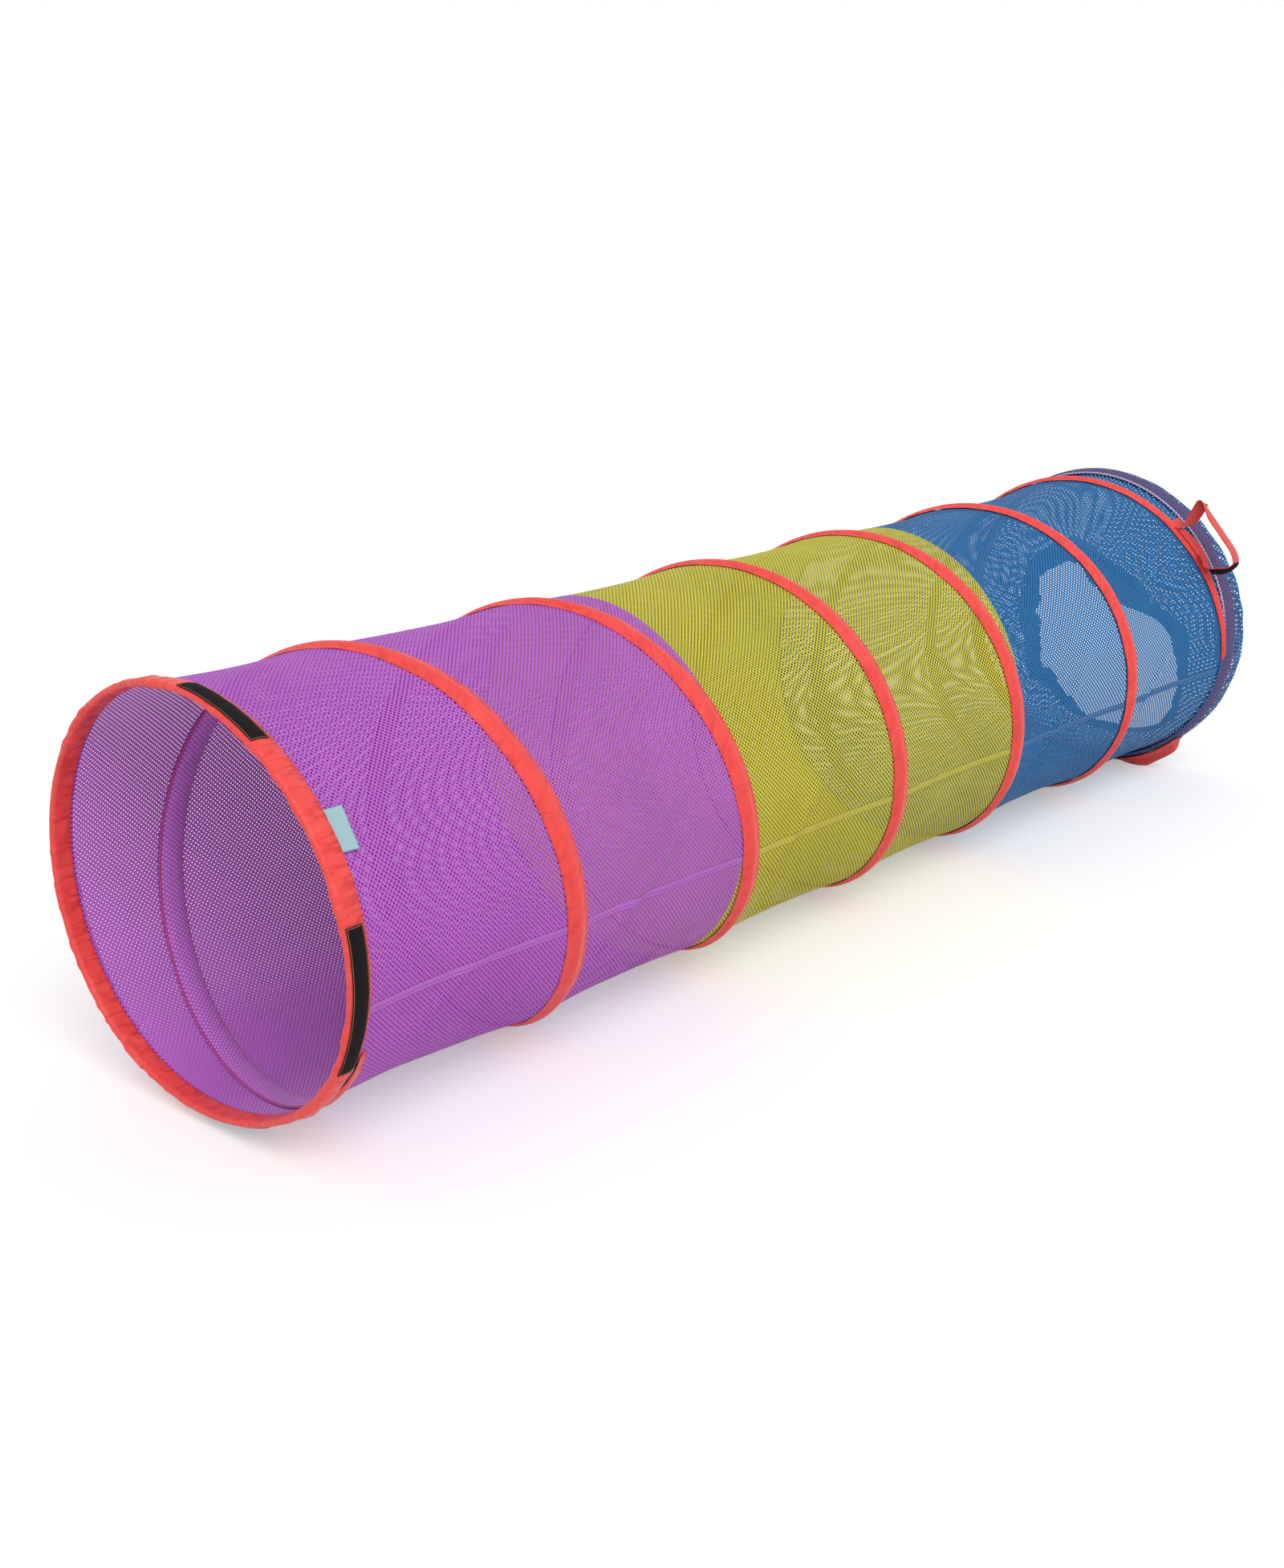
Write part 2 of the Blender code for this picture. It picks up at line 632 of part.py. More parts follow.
def make_label(mat):
    """Small bare label that lies on the mesh behind the front sleeve's edge."""
    reach = MESH_OUTER + CLEARANCE
    start = SLEEVE_WIDTH + CLEARANCE
    out = Vector((0, -math.cos(LABEL_ANGLE), math.sin(LABEL_ANGLE)))
    along = Vector((0, math.sin(LABEL_ANGLE), math.cos(LABEL_ANGLE)))
    centre = Vector((start + LABEL_LENGTH / 2 - MIDDLE, AXIS_SIDE, AXIS_HEIGHT)) + out * (reach + LABEL_CLOTH / 2)
    bm = bmesh.new()
    rings = []
    for sx in (-1, 1):
        corner = Vector((sx * LABEL_LENGTH / 2, 0, 0))
        rings.append(
            [
                centre + corner + along * (sa * LABEL_HEIGHT / 2) + out * (so * LABEL_CLOTH / 2)
                for sa, so in ((-1, -1), (1, -1), (1, 1), (-1, 1))
            ]
        )
    skin_rings(bm, rings, closed=False)
    return finish("label", bm, mat)


def main():
    clear_scene()
    red = material("red_nylon", "red", 0.62)
    tape_red = material("red_tape", "red", 0.7)
    webbing = material("red_webbing", "red", 0.75)
    violet = material("violet_mesh", "violet", 0.85)
    lime = material("lime_mesh", "lime", 0.85)
    blue = material("blue_mesh", "blue", 0.85)
    blue_skirt = material("blue_skirt_mesh", "blue", 0.85)
    black = material("black_hook_and_loop", "black", 0.95)
    pale = material("pale_label", "label", 0.6)
    steel = material("spring_steel", "steel", 0.35, 1.0)

    sweep("front_hoop_wire", hoop_stations(0.0), round_section, steel, closed=True, sharp=80)
    rear_wire = sweep("rear_hoop_wire", hoop_stations(HOOP_DISTANCE), round_section, steel, closed=True, sharp=80)
    make_coil(steel)
    half_flat = 0.5 / FLATS
    _, lead_front = make_crimp("front_crimp", COIL_START_TURN + half_flat, 0.0, 1, steel)
    rear_crimp, lead_rear = make_crimp("rear_crimp", COIL_END_TURN - half_flat, HOOP_DISTANCE, -1, steel)

    sweep("front_sleeve", hoop_stations(0.0), sleeve_section(1, FRONT_LIFT), red, closed=True)
    rear_section = sleeve_section(-1, REAR_LIFT)
    rear_sleeve = sweep("rear_sleeve", hoop_stations(HOOP_DISTANCE), rear_section, red, closed=True)
    for name, (middle, length) in STRIPS.items():
        make_strip(name, middle, length, black)
    make_label(pale)

    beside = WIRE_RADIUS + 2 * CLEARANCE + CRIMP_WALL
    edge = SLEEVE_WIDTH + CLEARANCE
    start, end = lead_front + beside, HOOP_DISTANCE - lead_rear - beside
    half_gap = CLEARANCE / 2
    make_panel("mesh_violet", level(start), askew(0, -half_gap), edge, None, violet)
    make_panel("mesh_lime", askew(0, half_gap), askew(1, -half_gap), None, None, lime)
    make_panel("mesh_blue", askew(1, half_gap), level(end), None, HOOP_DISTANCE - edge, blue)

    for piece in make_tape(tape_red):
        carry([piece], sum((v.co.x for v in piece.data.vertices)) / len(piece.data.vertices))
    skirt = make_skirt(blue_skirt)
    carry([rear_wire, rear_crimp, rear_sleeve, skirt], HOOP_DISTANCE - MIDDLE)

    tape_seat = TAPE_TOP
    upper_x = coil_x(6 - 41 / 360)
    lower_x = HOOP_DISTANCE - SLEEVE_WIDTH / 2
    mats = (webbing, black)
    make_strap("upper_strap", UPPER_LOOP_SHARES, UPPER_LOOP_HEIGHT, tape_seat, upper_x, UPPER_HOOK_SPAN, -1, mats)
    make_strap("lower_strap", LOWER_LOOP_SHARES, LOWER_LOOP_HEIGHT, OUTERMOST, lower_x, LOWER_HOOK_SPAN, 1, mats)
    print(f"middle {MIDDLE:.5f}, axis height {AXIS_HEIGHT:.5f}, hoop distance {HOOP_DISTANCE:.3f}")


main()
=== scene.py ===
from math import atan2, copysign, cos, exp, hypot, pi, radians, sin, tau

import bmesh
import bpy
from mathutils import Matrix, Vector, noise


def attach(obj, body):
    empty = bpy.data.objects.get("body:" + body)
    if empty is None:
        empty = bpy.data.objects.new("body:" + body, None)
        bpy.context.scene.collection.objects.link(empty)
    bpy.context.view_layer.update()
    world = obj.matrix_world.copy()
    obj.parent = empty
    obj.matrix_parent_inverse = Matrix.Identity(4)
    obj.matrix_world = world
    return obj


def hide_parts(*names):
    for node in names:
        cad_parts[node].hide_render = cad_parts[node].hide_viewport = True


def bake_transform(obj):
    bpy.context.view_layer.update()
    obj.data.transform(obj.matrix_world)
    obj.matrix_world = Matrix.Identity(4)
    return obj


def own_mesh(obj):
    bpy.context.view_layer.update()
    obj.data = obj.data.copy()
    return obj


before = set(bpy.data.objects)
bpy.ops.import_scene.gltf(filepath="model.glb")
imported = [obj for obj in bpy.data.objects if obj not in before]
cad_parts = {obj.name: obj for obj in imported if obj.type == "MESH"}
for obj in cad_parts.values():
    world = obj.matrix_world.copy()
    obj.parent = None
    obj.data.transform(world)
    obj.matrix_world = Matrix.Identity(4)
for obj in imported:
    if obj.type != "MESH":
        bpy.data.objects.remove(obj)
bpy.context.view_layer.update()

print("frame loaded:", len(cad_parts), "nodes")

# x is counted from the front hoop, and angles go round the axis from the near side (-Y) up over the top
tunnel = {
    "length": 1.830,
    "middle": 0.92715,
    "side": 0.009,
    "height": 0.24285,
    "hoop": 0.23747,  # radius of the wire's centre line
    "wire": 0.0015,
    "crossings": (  # of the coil with the near and the far side in turn, in lengths of the tunnel
        0.0, 0.078, 0.167, 0.238, 0.326, 0.416, 0.493, 0.578, 0.648, 0.741, 0.825, 0.917, 0.985, 1.065,
    ),
    "coilStart": -0.0625,  # in turns
    "coilEnd": 6.1375,
    "tapeCut": 0.3875,
    "tapeEnds": (0.07, 6.035),
    "lead": 0.0036,  # the coil's ends run beside the hoops
    "leadBlend": 0.006,
    "travel": 1.74,
    "borders": ((0.600, 0.072, -0.090), (1.218, 0.119, -0.044)),  # place, tilt to the far side, lean
    "seam": radians(-12),
    "seats": (0.22267, 0.56089, 0.87289, 1.16244, 1.4777, 1.77343),  # x of each turn's body
}

colors = {
    "red": (0.93, 0.078, 0.068),
    "redDeep": (0.66, 0.030, 0.030),
    "violet": (0.600, 0.156, 0.715),
    "violetDeep": (0.30, 0.048, 0.37),
    "lime": (0.780, 0.722, 0.075),
    "limeDeep": (0.30, 0.265, 0.012),
    "blue": (0.026, 0.186, 0.46),
    "blueDeep": (0.004, 0.072, 0.235),
    "hem": (0.008, 0.075, 0.23),
    "hemDeep": (0.002, 0.025, 0.10),
    "black": (0.009, 0.007, 0.008),
    "tan": (0.42, 0.20, 0.11),
    "label": (0.36, 0.56, 0.60),
    "steel": (0.45, 0.46, 0.47),
    "steelDeep": (0.30, 0.30, 0.31),
    "white": (0.92, 0.90, 0.92),
    "magenta": (0.50, 0.010, 0.15),
}

# the camera stands where the photograph's did
view = {
    "place": (-1.92689, -1.50293, 0.94215),
    "right": (0.67090, -0.74155, -0.00037),
    "up": (0.22696, 0.20486, 0.95211),
    "focal": 2321.46,  # in pixels of the 1600 x 1954 frame
    "longSide": 1954,
}


def addObject(name, data):
    made = bpy.data.objects.new(name, data)
    bpy.context.scene.collection.objects.link(made)
    return made


def makeCamera():
    data = bpy.data.cameras.new("photoCamera")
    data.sensor_width = 36
    data.lens = view["focal"] / view["longSide"] * data.sensor_width
    data.clip_end = 100
    camera = addObject("photoCamera", data)
    right, up = Vector(view["right"]).normalized(), Vector(view["up"])
    up = (up - right * up.dot(right)).normalized()
    back = right.cross(up)
    turned = Matrix((right, up, back)).transposed().to_4x4()
    camera.matrix_world = Matrix.Translation(view["place"]) @ turned
    bpy.context.scene.camera = camera


makeCamera()
print("camera placed")


def withOther(operation):
    return lambda signal, other: signal.math(operation, signal, other)


# shader nodes written as sums
class Signal:
    def __init__(self, tree, link=None):
        self.tree, self.link = tree, link

    def node(self, kind, settings=None, values=None, out=0):
        made = self.tree.nodes.new(kind)
        for name, value in (settings or {}).items():
            setattr(made, name, value)
        for name, value in (values or {}).items():
            if isinstance(value, Signal):
                self.tree.links.new(value.link, made.inputs[name])
            else:
                made.inputs[name].default_value = value
        return Signal(self.tree, made.outputs[out])

    def math(self, operation, *values):
        return self.node("ShaderNodeMath", {"operation": operation}, dict(enumerate(values)))

    __add__ = __radd__ = withOther("ADD")
    __sub__ = withOther("SUBTRACT")
    __mul__ = __rmul__ = withOther("MULTIPLY")
    __lt__ = withOther("LESS_THAN")
    __gt__ = withOther("GREATER_THAN")
    least = withOther("MINIMUM")
    most = withOther("MAXIMUM")
    wrap = withOther("FLOORED_MODULO")

    def __rsub__(self, other):
        return self.math("SUBTRACT", other, self)

    def __abs__(self):
        return self.math("ABSOLUTE", self)

    def cos(self):
        return self.math("COSINE", self)

    def soft(self, low, high):  # 0 below low, 1 above high
        spread = {"interpolation_type": "SMOOTHSTEP"}
        return self.node("ShaderNodeMapRange", spread, {0: self, 1: low, 2: high, 3: 0.0, 4: 1.0})


def rgba(color):
    return (*color, 1) if isinstance(color, tuple) else color


def mixColors(share, first, second):
    settings = {"data_type": "RGBA"}
    return share.node("ShaderNodeMix", settings, {0: share, 6: rgba(first), 7: rgba(second)}, out=2)


def startMaterial(name, fixed):
    made = bpy.data.materials.new(name)
    made.use_nodes = True
    for socket, value in fixed.items():
        made.node_tree.nodes["Principled BSDF"].inputs[socket].default_value = value
    return made, Signal(made.node_tree)


def feed(made, links, shader="Principled BSDF"):
    for socket, signal in links.items():
        signal.tree.links.new(signal.link, made.node_tree.nodes[shader].inputs[socket])
    return made


def bump(height, distance, strength):
    return height.node("ShaderNodeBump", None, {"Strength": strength, "Distance": distance, "Height": height})


def parts(place, *which):
    return [place.node("ShaderNodeSeparateXYZ", None, {0: place}, out) for out in which]


def clothPlace(tree):  # metres along and across, from the piece's own map
    return parts(tree.node("ShaderNodeUVMap", {"uv_map": "cloth"}), 0, 1)


def objectPlace(tree):
    return tree.node("ShaderNodeTexCoord", out=3)


def cloudy(tree, scale, detail=3.0):
    place = objectPlace(tree)
    return tree.node("ShaderNodeTexNoise", None, {"Vector": place, "Scale": scale, "Detail": detail})


def dashes(along, across, place, width, pitch, filled=0.68):
    line = abs(across - place) < width / 2
    return line * (along.wrap(pitch) < pitch * filled)


meshLook = {
    # rows of holes to the metre along and round, and the edge of a hole on the near and far side, where
    # a higher one is a smaller hole; the far side holes are also veiled, painted shade that lets less light
    # through, and each hole has a rim of painted shade
    "violet": {"rows": (178.0, 165.0), "near": 0.80, "far": 1.10, "veil": 0.40, "rimShade": 0.75, "sheen": 0.06},
    "lime": {"rows": (166.0, 168.0), "near": 0.56, "far": 1.05, "veil": 0.66, "rimShade": 1.10, "sheen": 0.05},
    "blue": {"rows": (141.0, 145.0), "near": 1.10, "far": 1.10, "veil": 0.12, "rimShade": 0.25, "sheen": 0.05},
    "skirt": {"rows": (141.0, 145.0), "near": 0.82, "far": 0.82, "veil": 0.0, "rimShade": 0.25, "sheen": 0.05},
    "sides": 0.10,  # half of the width over which the holes go from the far side size to the near side size
    "holeSoft": 0.05,
    "openingHeights": (0.015, 0.085),  # heights between which the holes open out; below them less shows through, so the cloth looks darker towards the bottom
    "closing": 0.45,  # how much smaller they are below that
    "seamHalf": 0.0048,
    "seamEdge": (0.0014, 0.0004),
    "seamRows": (0.0034, 0.0010),  # of stitches, the second on one side only
    "stitch": (0.0010, 0.0035),  # width and pitch
    "basting": (0.0018, 0.0062, 0.86),  # width, pitch and share that is thread
    "bastingHeights": (0.24, 0.32),
    "bastingTone": (0.72, 0.52, 0.70),
    # painted light: the tint of the lit red sleeve showing through the skirt
    "overSleeve": (0.115, 0.085, 0.21),
    "tones": (0.14, 0.42, 0.35, 0.16),  # of the threads, painted darker towards the holes as shade, of broad and fine clouds, and of the knit
    "ground": 0.26,
    # depths before a hole edge over which its rim of painted shade darkens the threads
    "rimShadeFrom": (-0.80, -0.05),
    "seamTones": (0.6, 0.75),  # of the doubled cloth and of the painted shade in the groove beside it
    "stitchTones": {"violet": 0.28, "lime": 0.20, "blue": 0.20},
    "bump": (0.0004, 0.6),  # height and strength
}


def lattice(along, around, which):
    rowsAlong, rowsRound = meshLook[which]["rows"]
    a, b = along * (tau * rowsAlong), around * (tau * rowsRound)
    return (a + b).cos() + (a - b).cos()


def meshMaterial(name, which, girth, seamed=True, basting=None, turnedIn=None):
    look = meshLook[which]
    dye = "blue" if which == "skirt" else which
    color, deep = colors[dye], colors[dye + "Deep"]
    made, tree = startMaterial(name, {
        "Roughness": 0.84, "Specular IOR Level": 0.22, "Sheen Weight": look["sheen"], "Sheen Roughness": 0.5})
    along, around = clothPlace(tree)
    wave = lattice(along, around, which)
    aside, above = parts(objectPlace(tree), 1, 2)
    if turnedIn:  # the tucked part is laid flat across the end
        bent = cloudy(tree, 5.0, 1.0) * 0.05
        inside = along > turnedIn
        wave = wave * (1 - inside) + lattice(aside + bent, above + bent, which) * inside
    # painted shade: on the far side the holes are smaller and veiled, so less light shows through them
    nearSide = aside.soft(meshLook["sides"], -meshLook["sides"])
    # the holes are smaller towards the bottom, so the cloth is darker there
    closing = above.soft(meshLook["openingHeights"][1], meshLook["openingHeights"][0]) * meshLook["closing"]
    size = nearSide * (look["far"] - look["near"]) - look["far"]
    depth = wave - closing + size  # 0 at the edge of a hole
    hole = depth.soft(-meshLook["holeSoft"], meshLook["holeSoft"]) * (1 - (1 - nearSide) * look["veil"])
    broad, fine = cloudy(tree, 9.0, 2.0), cloudy(tree, 320.0, 2.0)
    threads, clouds, grain, knits = meshLook["tones"]
    # painted shade: the threads darken towards each hole and a dark rim rings it; the clouds and the knit are
    # the cloth's own tone
    shade = (wave + 2.0) * threads + broad * clouds - meshLook["ground"] + (fine - 0.5) * grain
    shade = shade + depth.soft(*meshLook["rimShadeFrom"]) * look["rimShade"]
    knit = ((along * (2 * tau * look["rows"][0])).cos() * 0.5 + 0.5) * knits
    tone = mixColors(shade + knit, color, deep)
    height = wave * -0.25 + fine * 0.2
    closed = None
    if seamed:
        edge = around.least(girth - around)
        closed = edge < meshLook["seamHalf"]
        doubled, grooveShade = meshLook["seamTones"]
        tone = mixColors(closed * doubled, tone, tuple(0.5 * (a + b) for a, b in zip(color, deep)))
        stitch, second = (dashes(along, edge, row, *meshLook["stitch"]) for row in meshLook["seamRows"])
        stitch = stitch.most(second * (around < girth / 2))
        tone = mixColors(stitch * meshLook["stitchTones"][which], tone, colors["white"])
        # painted shade in the groove beside the seam
        groove = edge.soft(*(meshLook["seamHalf"] + past for past in meshLook["seamEdge"])) * (1 - closed)
        tone = mixColors(groove * grooveShade, tone, deep)
        height = height + closed * 3.0 - stitch
    if turnedIn:  # painted light: the lit red sleeve is painted as shining through where the skirt lies on it
        over = along.soft(turnedIn - 0.010, turnedIn - 0.022) * along.soft(0.001, 0.003)
        tone = mixColors(over * 0.72, tone, meshLook["overSleeve"])
    if basting:
        stitch = dashes(around, along, basting, *meshLook["basting"])
        stitch = stitch * above.soft(*meshLook["bastingHeights"])
        tone = mixColors(stitch * 0.9, tone, meshLook["bastingTone"])
        closed = closed.most(stitch) if closed else stitch
    alpha = 1 - hole * (1 - closed) if closed else 1 - hole
    return feed(made, {"Base Color": tone, "Alpha": alpha, "Normal": bump(height, *meshLook["bump"])})


redLook = {"weave": 1500.0, "stitchWidth": 0.0007, "stitchPitch": 0.0030, "groove": 0.0015}


def redMaterial(name, look):
    color, deep = colors["red"], colors["redDeep"]
    made, tree = startMaterial(name, {
        "Specular IOR Level": 0.35, "Sheen Weight": look["sheen"], "Sheen Roughness": 0.4})
    along, across = clothPlace(tree)
    threads = (along * redLook["weave"] * tau).cos() * (across * redLook["weave"] * tau).cos()
    broad, fine = cloudy(tree, 26.0, 4.0), cloudy(tree, 420.0, 2.0)
    shade = (broad - 0.42) * 1.5 * look["wear"] + threads * 0.05 + (fine - 0.5) * 0.16
    tone = mixColors(shade, color, deep)
    height = threads * 0.10 + fine * 0.12
    for place in look["stitchRows"]:
        stitch = dashes(along, across, place, redLook["stitchWidth"], redLook["stitchPitch"])
        tone = mixColors(stitch * 0.6, tone, deep)
        height = height - abs(across - place).soft(redLook["groove"], 0.0) * 0.8 + stitch * 0.5
    # short gathers that run in from both sewn edges, with painted shade in their valleys and a painted
    # highlight on their crests
    scaleA, scaleB = look["gathers"]
    flow = {0: along * scaleA + across * look["slant"], 1: across * scaleB}
    flow = tree.node("ShaderNodeCombineXYZ", None, flow)
    folds = tree.node("ShaderNodeTexNoise", None, {"Vector": flow, "Scale": 1.0, "Detail": 2.0})
    valleyShade = abs(folds - 0.5).soft(0.055, 0.0)
    outward = abs(across - look["middle"]).soft(0.0, look["half"])
    depth = look["depth"]
    tone = mixColors(valleyShade * (0.25 + 0.55 * outward) * depth, tone, deep)
    tone = mixColors(folds.soft(0.56, 0.74) * 0.35, tone, look["light"])
    height = height * (1 - 0.7 * depth) + (abs(folds - 0.5) * 5.0 + folds * 2.0) * depth
    rough = look["roughness"] + (fine - 0.5) * 0.2
    return feed(made, {"Base Color": tone, "Roughness": rough, "Normal": bump(height, 0.0006, 0.8)})


webbingLook = {"rib": 0.0022, "bar": 0.0014}


def webbingMaterial(name):
    made, tree = startMaterial(name, {"Roughness": 0.66, "Sheen Weight": 0.2})
    along, across = clothPlace(tree)
    ribs = (across * (tau / webbingLook["rib"])).cos()
    bars = (along * (tau / webbingLook["bar"])).cos()
    fine = cloudy(tree, 500.0)
    shade = 0.22 - ribs * 0.22 + bars * 0.08 + (fine - 0.5) * 0.3
    tone = mixColors(shade, colors["red"], colors["redDeep"])
    height = ribs * 0.5 + bars * 0.25 + fine * 0.2
    return feed(made, {"Base Color": tone, "Normal": bump(height, 0.0005, 0.8)})


pileLook = {
    "hook": 0.0016,
    "light": (0.030, 0.021, 0.023),
    "thread": 0.0009,
    "pitch": 0.0032,
    "stitch": 0.0026,
}


def pileMaterial(name, stitch=None):
    made, tree = startMaterial(name, {
        "Roughness": 0.95, "Specular IOR Level": 0.08, "Sheen Weight": 0.03})
    along, across = clothPlace(tree)
    tufts = cloudy(tree, 900.0, 2.0)
    hooks = (along * (tau / pileLook["hook"])).cos() * (across * (tau / pileLook["hook"])).cos()
    tone = mixColors(tufts * 0.8 + hooks * 0.15 - 0.2, colors["black"], pileLook["light"])
    height = tufts + hooks * 0.5
    if stitch:  # length and half width of the strip, and how far in the line of thread runs
        length, half, inset = stitch
        ends, sides, thread = abs(along - length / 2), abs(across), pileLook["thread"]
        inside = (ends < length / 2 - inset) * (sides < half - inset)
        outer = (ends < length / 2 - inset + thread) * (sides < half - inset + thread)
        line = (outer - inside) * ((along + across).wrap(pileLook["pitch"]) < pileLook["stitch"])
        tone = mixColors(line, tone, colors["tan"])
        height = height + line * 2.0
    return feed(made, {"Base Color": tone, "Normal": bump(height, 0.0005, 0.9)})


labelLook = {"weave": 0.0006, "deep": (0.27, 0.47, 0.53), "hem": 0.0014, "hemTone": (0.25, 0.52, 0.60)}


def labelMaterial():
    made, tree = startMaterial("labelSatin", {"Roughness": 0.45, "Sheen Weight": 0.2})
    along, across = clothPlace(tree)
    turns = tau / labelLook["weave"]
    threads = (along * turns).cos() * (across * turns).cos()
    fine = cloudy(tree, 300.0)
    tone = mixColors((fine - 0.45) * 0.9 + threads * 0.08, colors["label"], labelLook["deep"])
    edge = (label["length"] / 2 - abs(along)).least(label["height"] / 2 - abs(across))
    hem = edge < labelLook["hem"]
    tone = mixColors(hem * 0.35, tone, labelLook["hemTone"])
    relief = threads * 0.2 + fine * 0.2 - hem * 0.5
    return feed(made, {"Base Color": tone, "Normal": bump(relief, 0.0004, 0.6)})


def steelMaterial():
    made, tree = startMaterial("springSteel", {"Metallic": 1.0})
    streak = cloudy(tree, 200.0, 2.0)
    tone = mixColors(streak, colors["steel"], colors["steelDeep"])
    return feed(made, {"Base Color": tone, "Roughness": streak * 0.25 + 0.25})


# the coil's path, and the places of everything on it

def through(before, a, b, after, f):  # a smooth line from a to b, of numbers or of vectors
    first = a * (2 * f**3 - 3 * f**2 + 1) + (b - before) * ((f**3 - 2 * f**2 + f) / 2)
    return first + b * (3 * f**2 - 2 * f**3) + (after - a) * ((f**3 - f**2) / 2)


def freeCoilX(turn):
    shares = tunnel["crossings"]
    place = min(max(2 * turn, 0.0), len(shares) - 1.001)
    i = int(place)
    before = shares[i - 1] if i else 2 * shares[0] - shares[1]
    after = shares[i + 2] if i + 2 < len(shares) else 2 * shares[-1] - shares[-2]
    share = through(before, shares[i], shares[i + 1], after, place - i)
    return (share + min(2 * turn, 0.0) * (shares[i + 1] - before) / 2) * tunnel["length"]


def coilX(turn):
    def upper(a, b):
        return (a + b + hypot(a - b, tunnel["leadBlend"])) / 2

    x = upper(freeCoilX(turn), tunnel["lead"])
    return -upper(-x, tunnel["lead"] - tunnel["length"])


# the front end stands a little askew and is not quite round, which fades away behind it
front = {
    "fade": 0.36,
    "oval": 0.0197,
    "slant": 0.0078,
    "three": (0.0083, -0.0083),
    "aside": -0.0294,
    "upward": -0.0200,
    "shift": (-0.0067, 0.0029, 0.0031),
}

# the rear hoop is drawn up a little and bellies to the near side; these are its swells in metres
rear = {"fade": 0.42, "swell": ((0.0033, 0.0), (0.0007, 0.0021), (-0.0005, -0.0026), (0.0011, -0.0017))}


def smooth(share):
    share = min(max(share, 0.0), 1.0)
    return share * share * (3 - 2 * share)


def spot(x, angle, radius):
    share = 1 - smooth(x / front["fade"])
    swell = front["oval"] * cos(2 * angle) + front["slant"] * sin(2 * angle)
    swell += front["three"][0] * cos(3 * angle) + front["three"][1] * sin(3 * angle)
    radius *= 1 + swell * share
    back = smooth((x - tunnel["length"]) / rear["fade"] + 1)
    for k, (even, odd) in enumerate(rear["swell"]):
        radius += back * (even * cos(k * angle) + odd * sin(k * angle))
    aside, rise = -radius * cos(angle), radius * sin(angle)
    place = Vector((x - tunnel["middle"], tunnel["side"] + aside, tunnel["height"] + rise))
    lean = Vector((front["aside"] * aside + front["upward"] * rise, 0, 0))
    return place + (lean + Vector(front["shift"])) * share


def stir(*place):
    return noise.noise(Vector(place))


def ripple(x, angle, scaleX, reach, seed=0.0):  # noise that closes round the tunnel
    return stir(x * scaleX + seed, reach * cos(angle), reach * sin(angle))


def layGrid(name, cellsA, cellsB, place, mapPlace, material, closed=False):
    # a grid of cells, moved to its place, with its own map in metres
    bm = bmesh.new()
    cloth = bm.loops.layers.uv.new("cloth")
    bmesh.ops.create_grid(bm, x_segments=cellsA, y_segments=cellsB, size=0.5)
    for face in bm.faces:
        face.smooth = True
        for loop in face.loops:
            loop[cloth].uv = mapPlace(loop.vert.co.x + 0.5, loop.vert.co.y + 0.5)
    for vert in bm.verts:
        vert.co = place(vert.co.x + 0.5, vert.co.y + 0.5)
    if closed:
        bmesh.ops.remove_doubles(bm, verts=bm.verts, dist=0.00001)
    data = bpy.data.meshes.new(name)
    bm.to_mesh(data)
    bm.free()
    data.materials.append(material)
    return addObject(name, data)


def thicken(piece, thickness, offset=0.0):
    step = piece.modifiers.new("cloth", "SOLIDIFY")
    step.thickness, step.offset = thickness, offset
    graph = bpy.context.evaluated_depsgraph_get()
    graph.update()
    data = bpy.data.meshes.new_from_object(piece.evaluated_get(graph))
    piece.modifiers.clear()
    piece.data = data


def flattenWith(piece):  # the piece gets its own copy of its mesh
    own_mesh(piece)


# the three lengths of mesh, drawn in a little between the wires
cloth = {
    "radius": 0.2361,
    "sag": 0.0058,
    "sagGap": 0.30,  # between wires, for the full sag
    "creases": 0.0022,
    "middle": 0.94,  # the cloth is tighter about here, so its creases are lower
    "middleHalf": 0.38,
    "tightest": 0.4,
    "ridges": (7.0, 2.4, 0.8),  # scale along and round, and strength
    "swells": (4.0, 1.6, 0.9),
    "twists": (3.0, 2.2),  # of the ridges and the swells, in radians to the metre
    "nearest": 0.12,  # wires closer than this hold the cloth flat
    "foldWidth": (0.45, 0.95),  # share of a pulled crease's width, at its start and end
    "trough": (0.6, 1.6),  # depth and place of the dip beside it
    "folds": (  # start x, start angle, end x, end angle, depth and width of each pulled crease
        (0.62, -30, 0.83, 24, 0.0042, 0.013),
        (0.63, -34, 0.74, 2, 0.0034, 0.011),
        (0.93, -28, 1.10, 18, 0.0038, 0.012),
        (0.95, 48, 1.12, 8, 0.0030, 0.014),
        (1.22, -34, 1.40, 14, 0.0038, 0.013),
        (1.24, -40, 1.34, -8, 0.0034, 0.010),
        (1.50, -30, 1.66, 10, 0.0036, 0.012),
        (0.30, -36, 0.50, 8, 0.0032, 0.013),
        (0.05, -34, 0.20, -6, 0.0028, 0.012),
        (1.46, 60, 1.62, 24, 0.0030, 0.015),
        (0.60, 150, 0.82, 196, 0.0036, 0.014),
        (1.20, 158, 1.38, 200, 0.0034, 0.013),
    ),
    "overlap": 0.004,
    "fromHoop": 0.0012,
    "layers": (0.0, 0.0006, 0.0012),  # how far inside each length lies
    "cellsAlong": 84,
    "cellsRound": 288,
}
wiresKept = {}


def wiresAt(angle):
    key = round(angle % tau, 4)
    if key not in wiresKept:
        found = [0.0, tunnel["length"]]
        for turns in range(-1, 9):
            turn = turns - (angle % tau) / tau
            if tunnel["coilStart"] <= turn <= tunnel["coilEnd"]:
                found.append(coilX(turn))
        wiresKept[key] = sorted(found)
    return wiresKept[key]


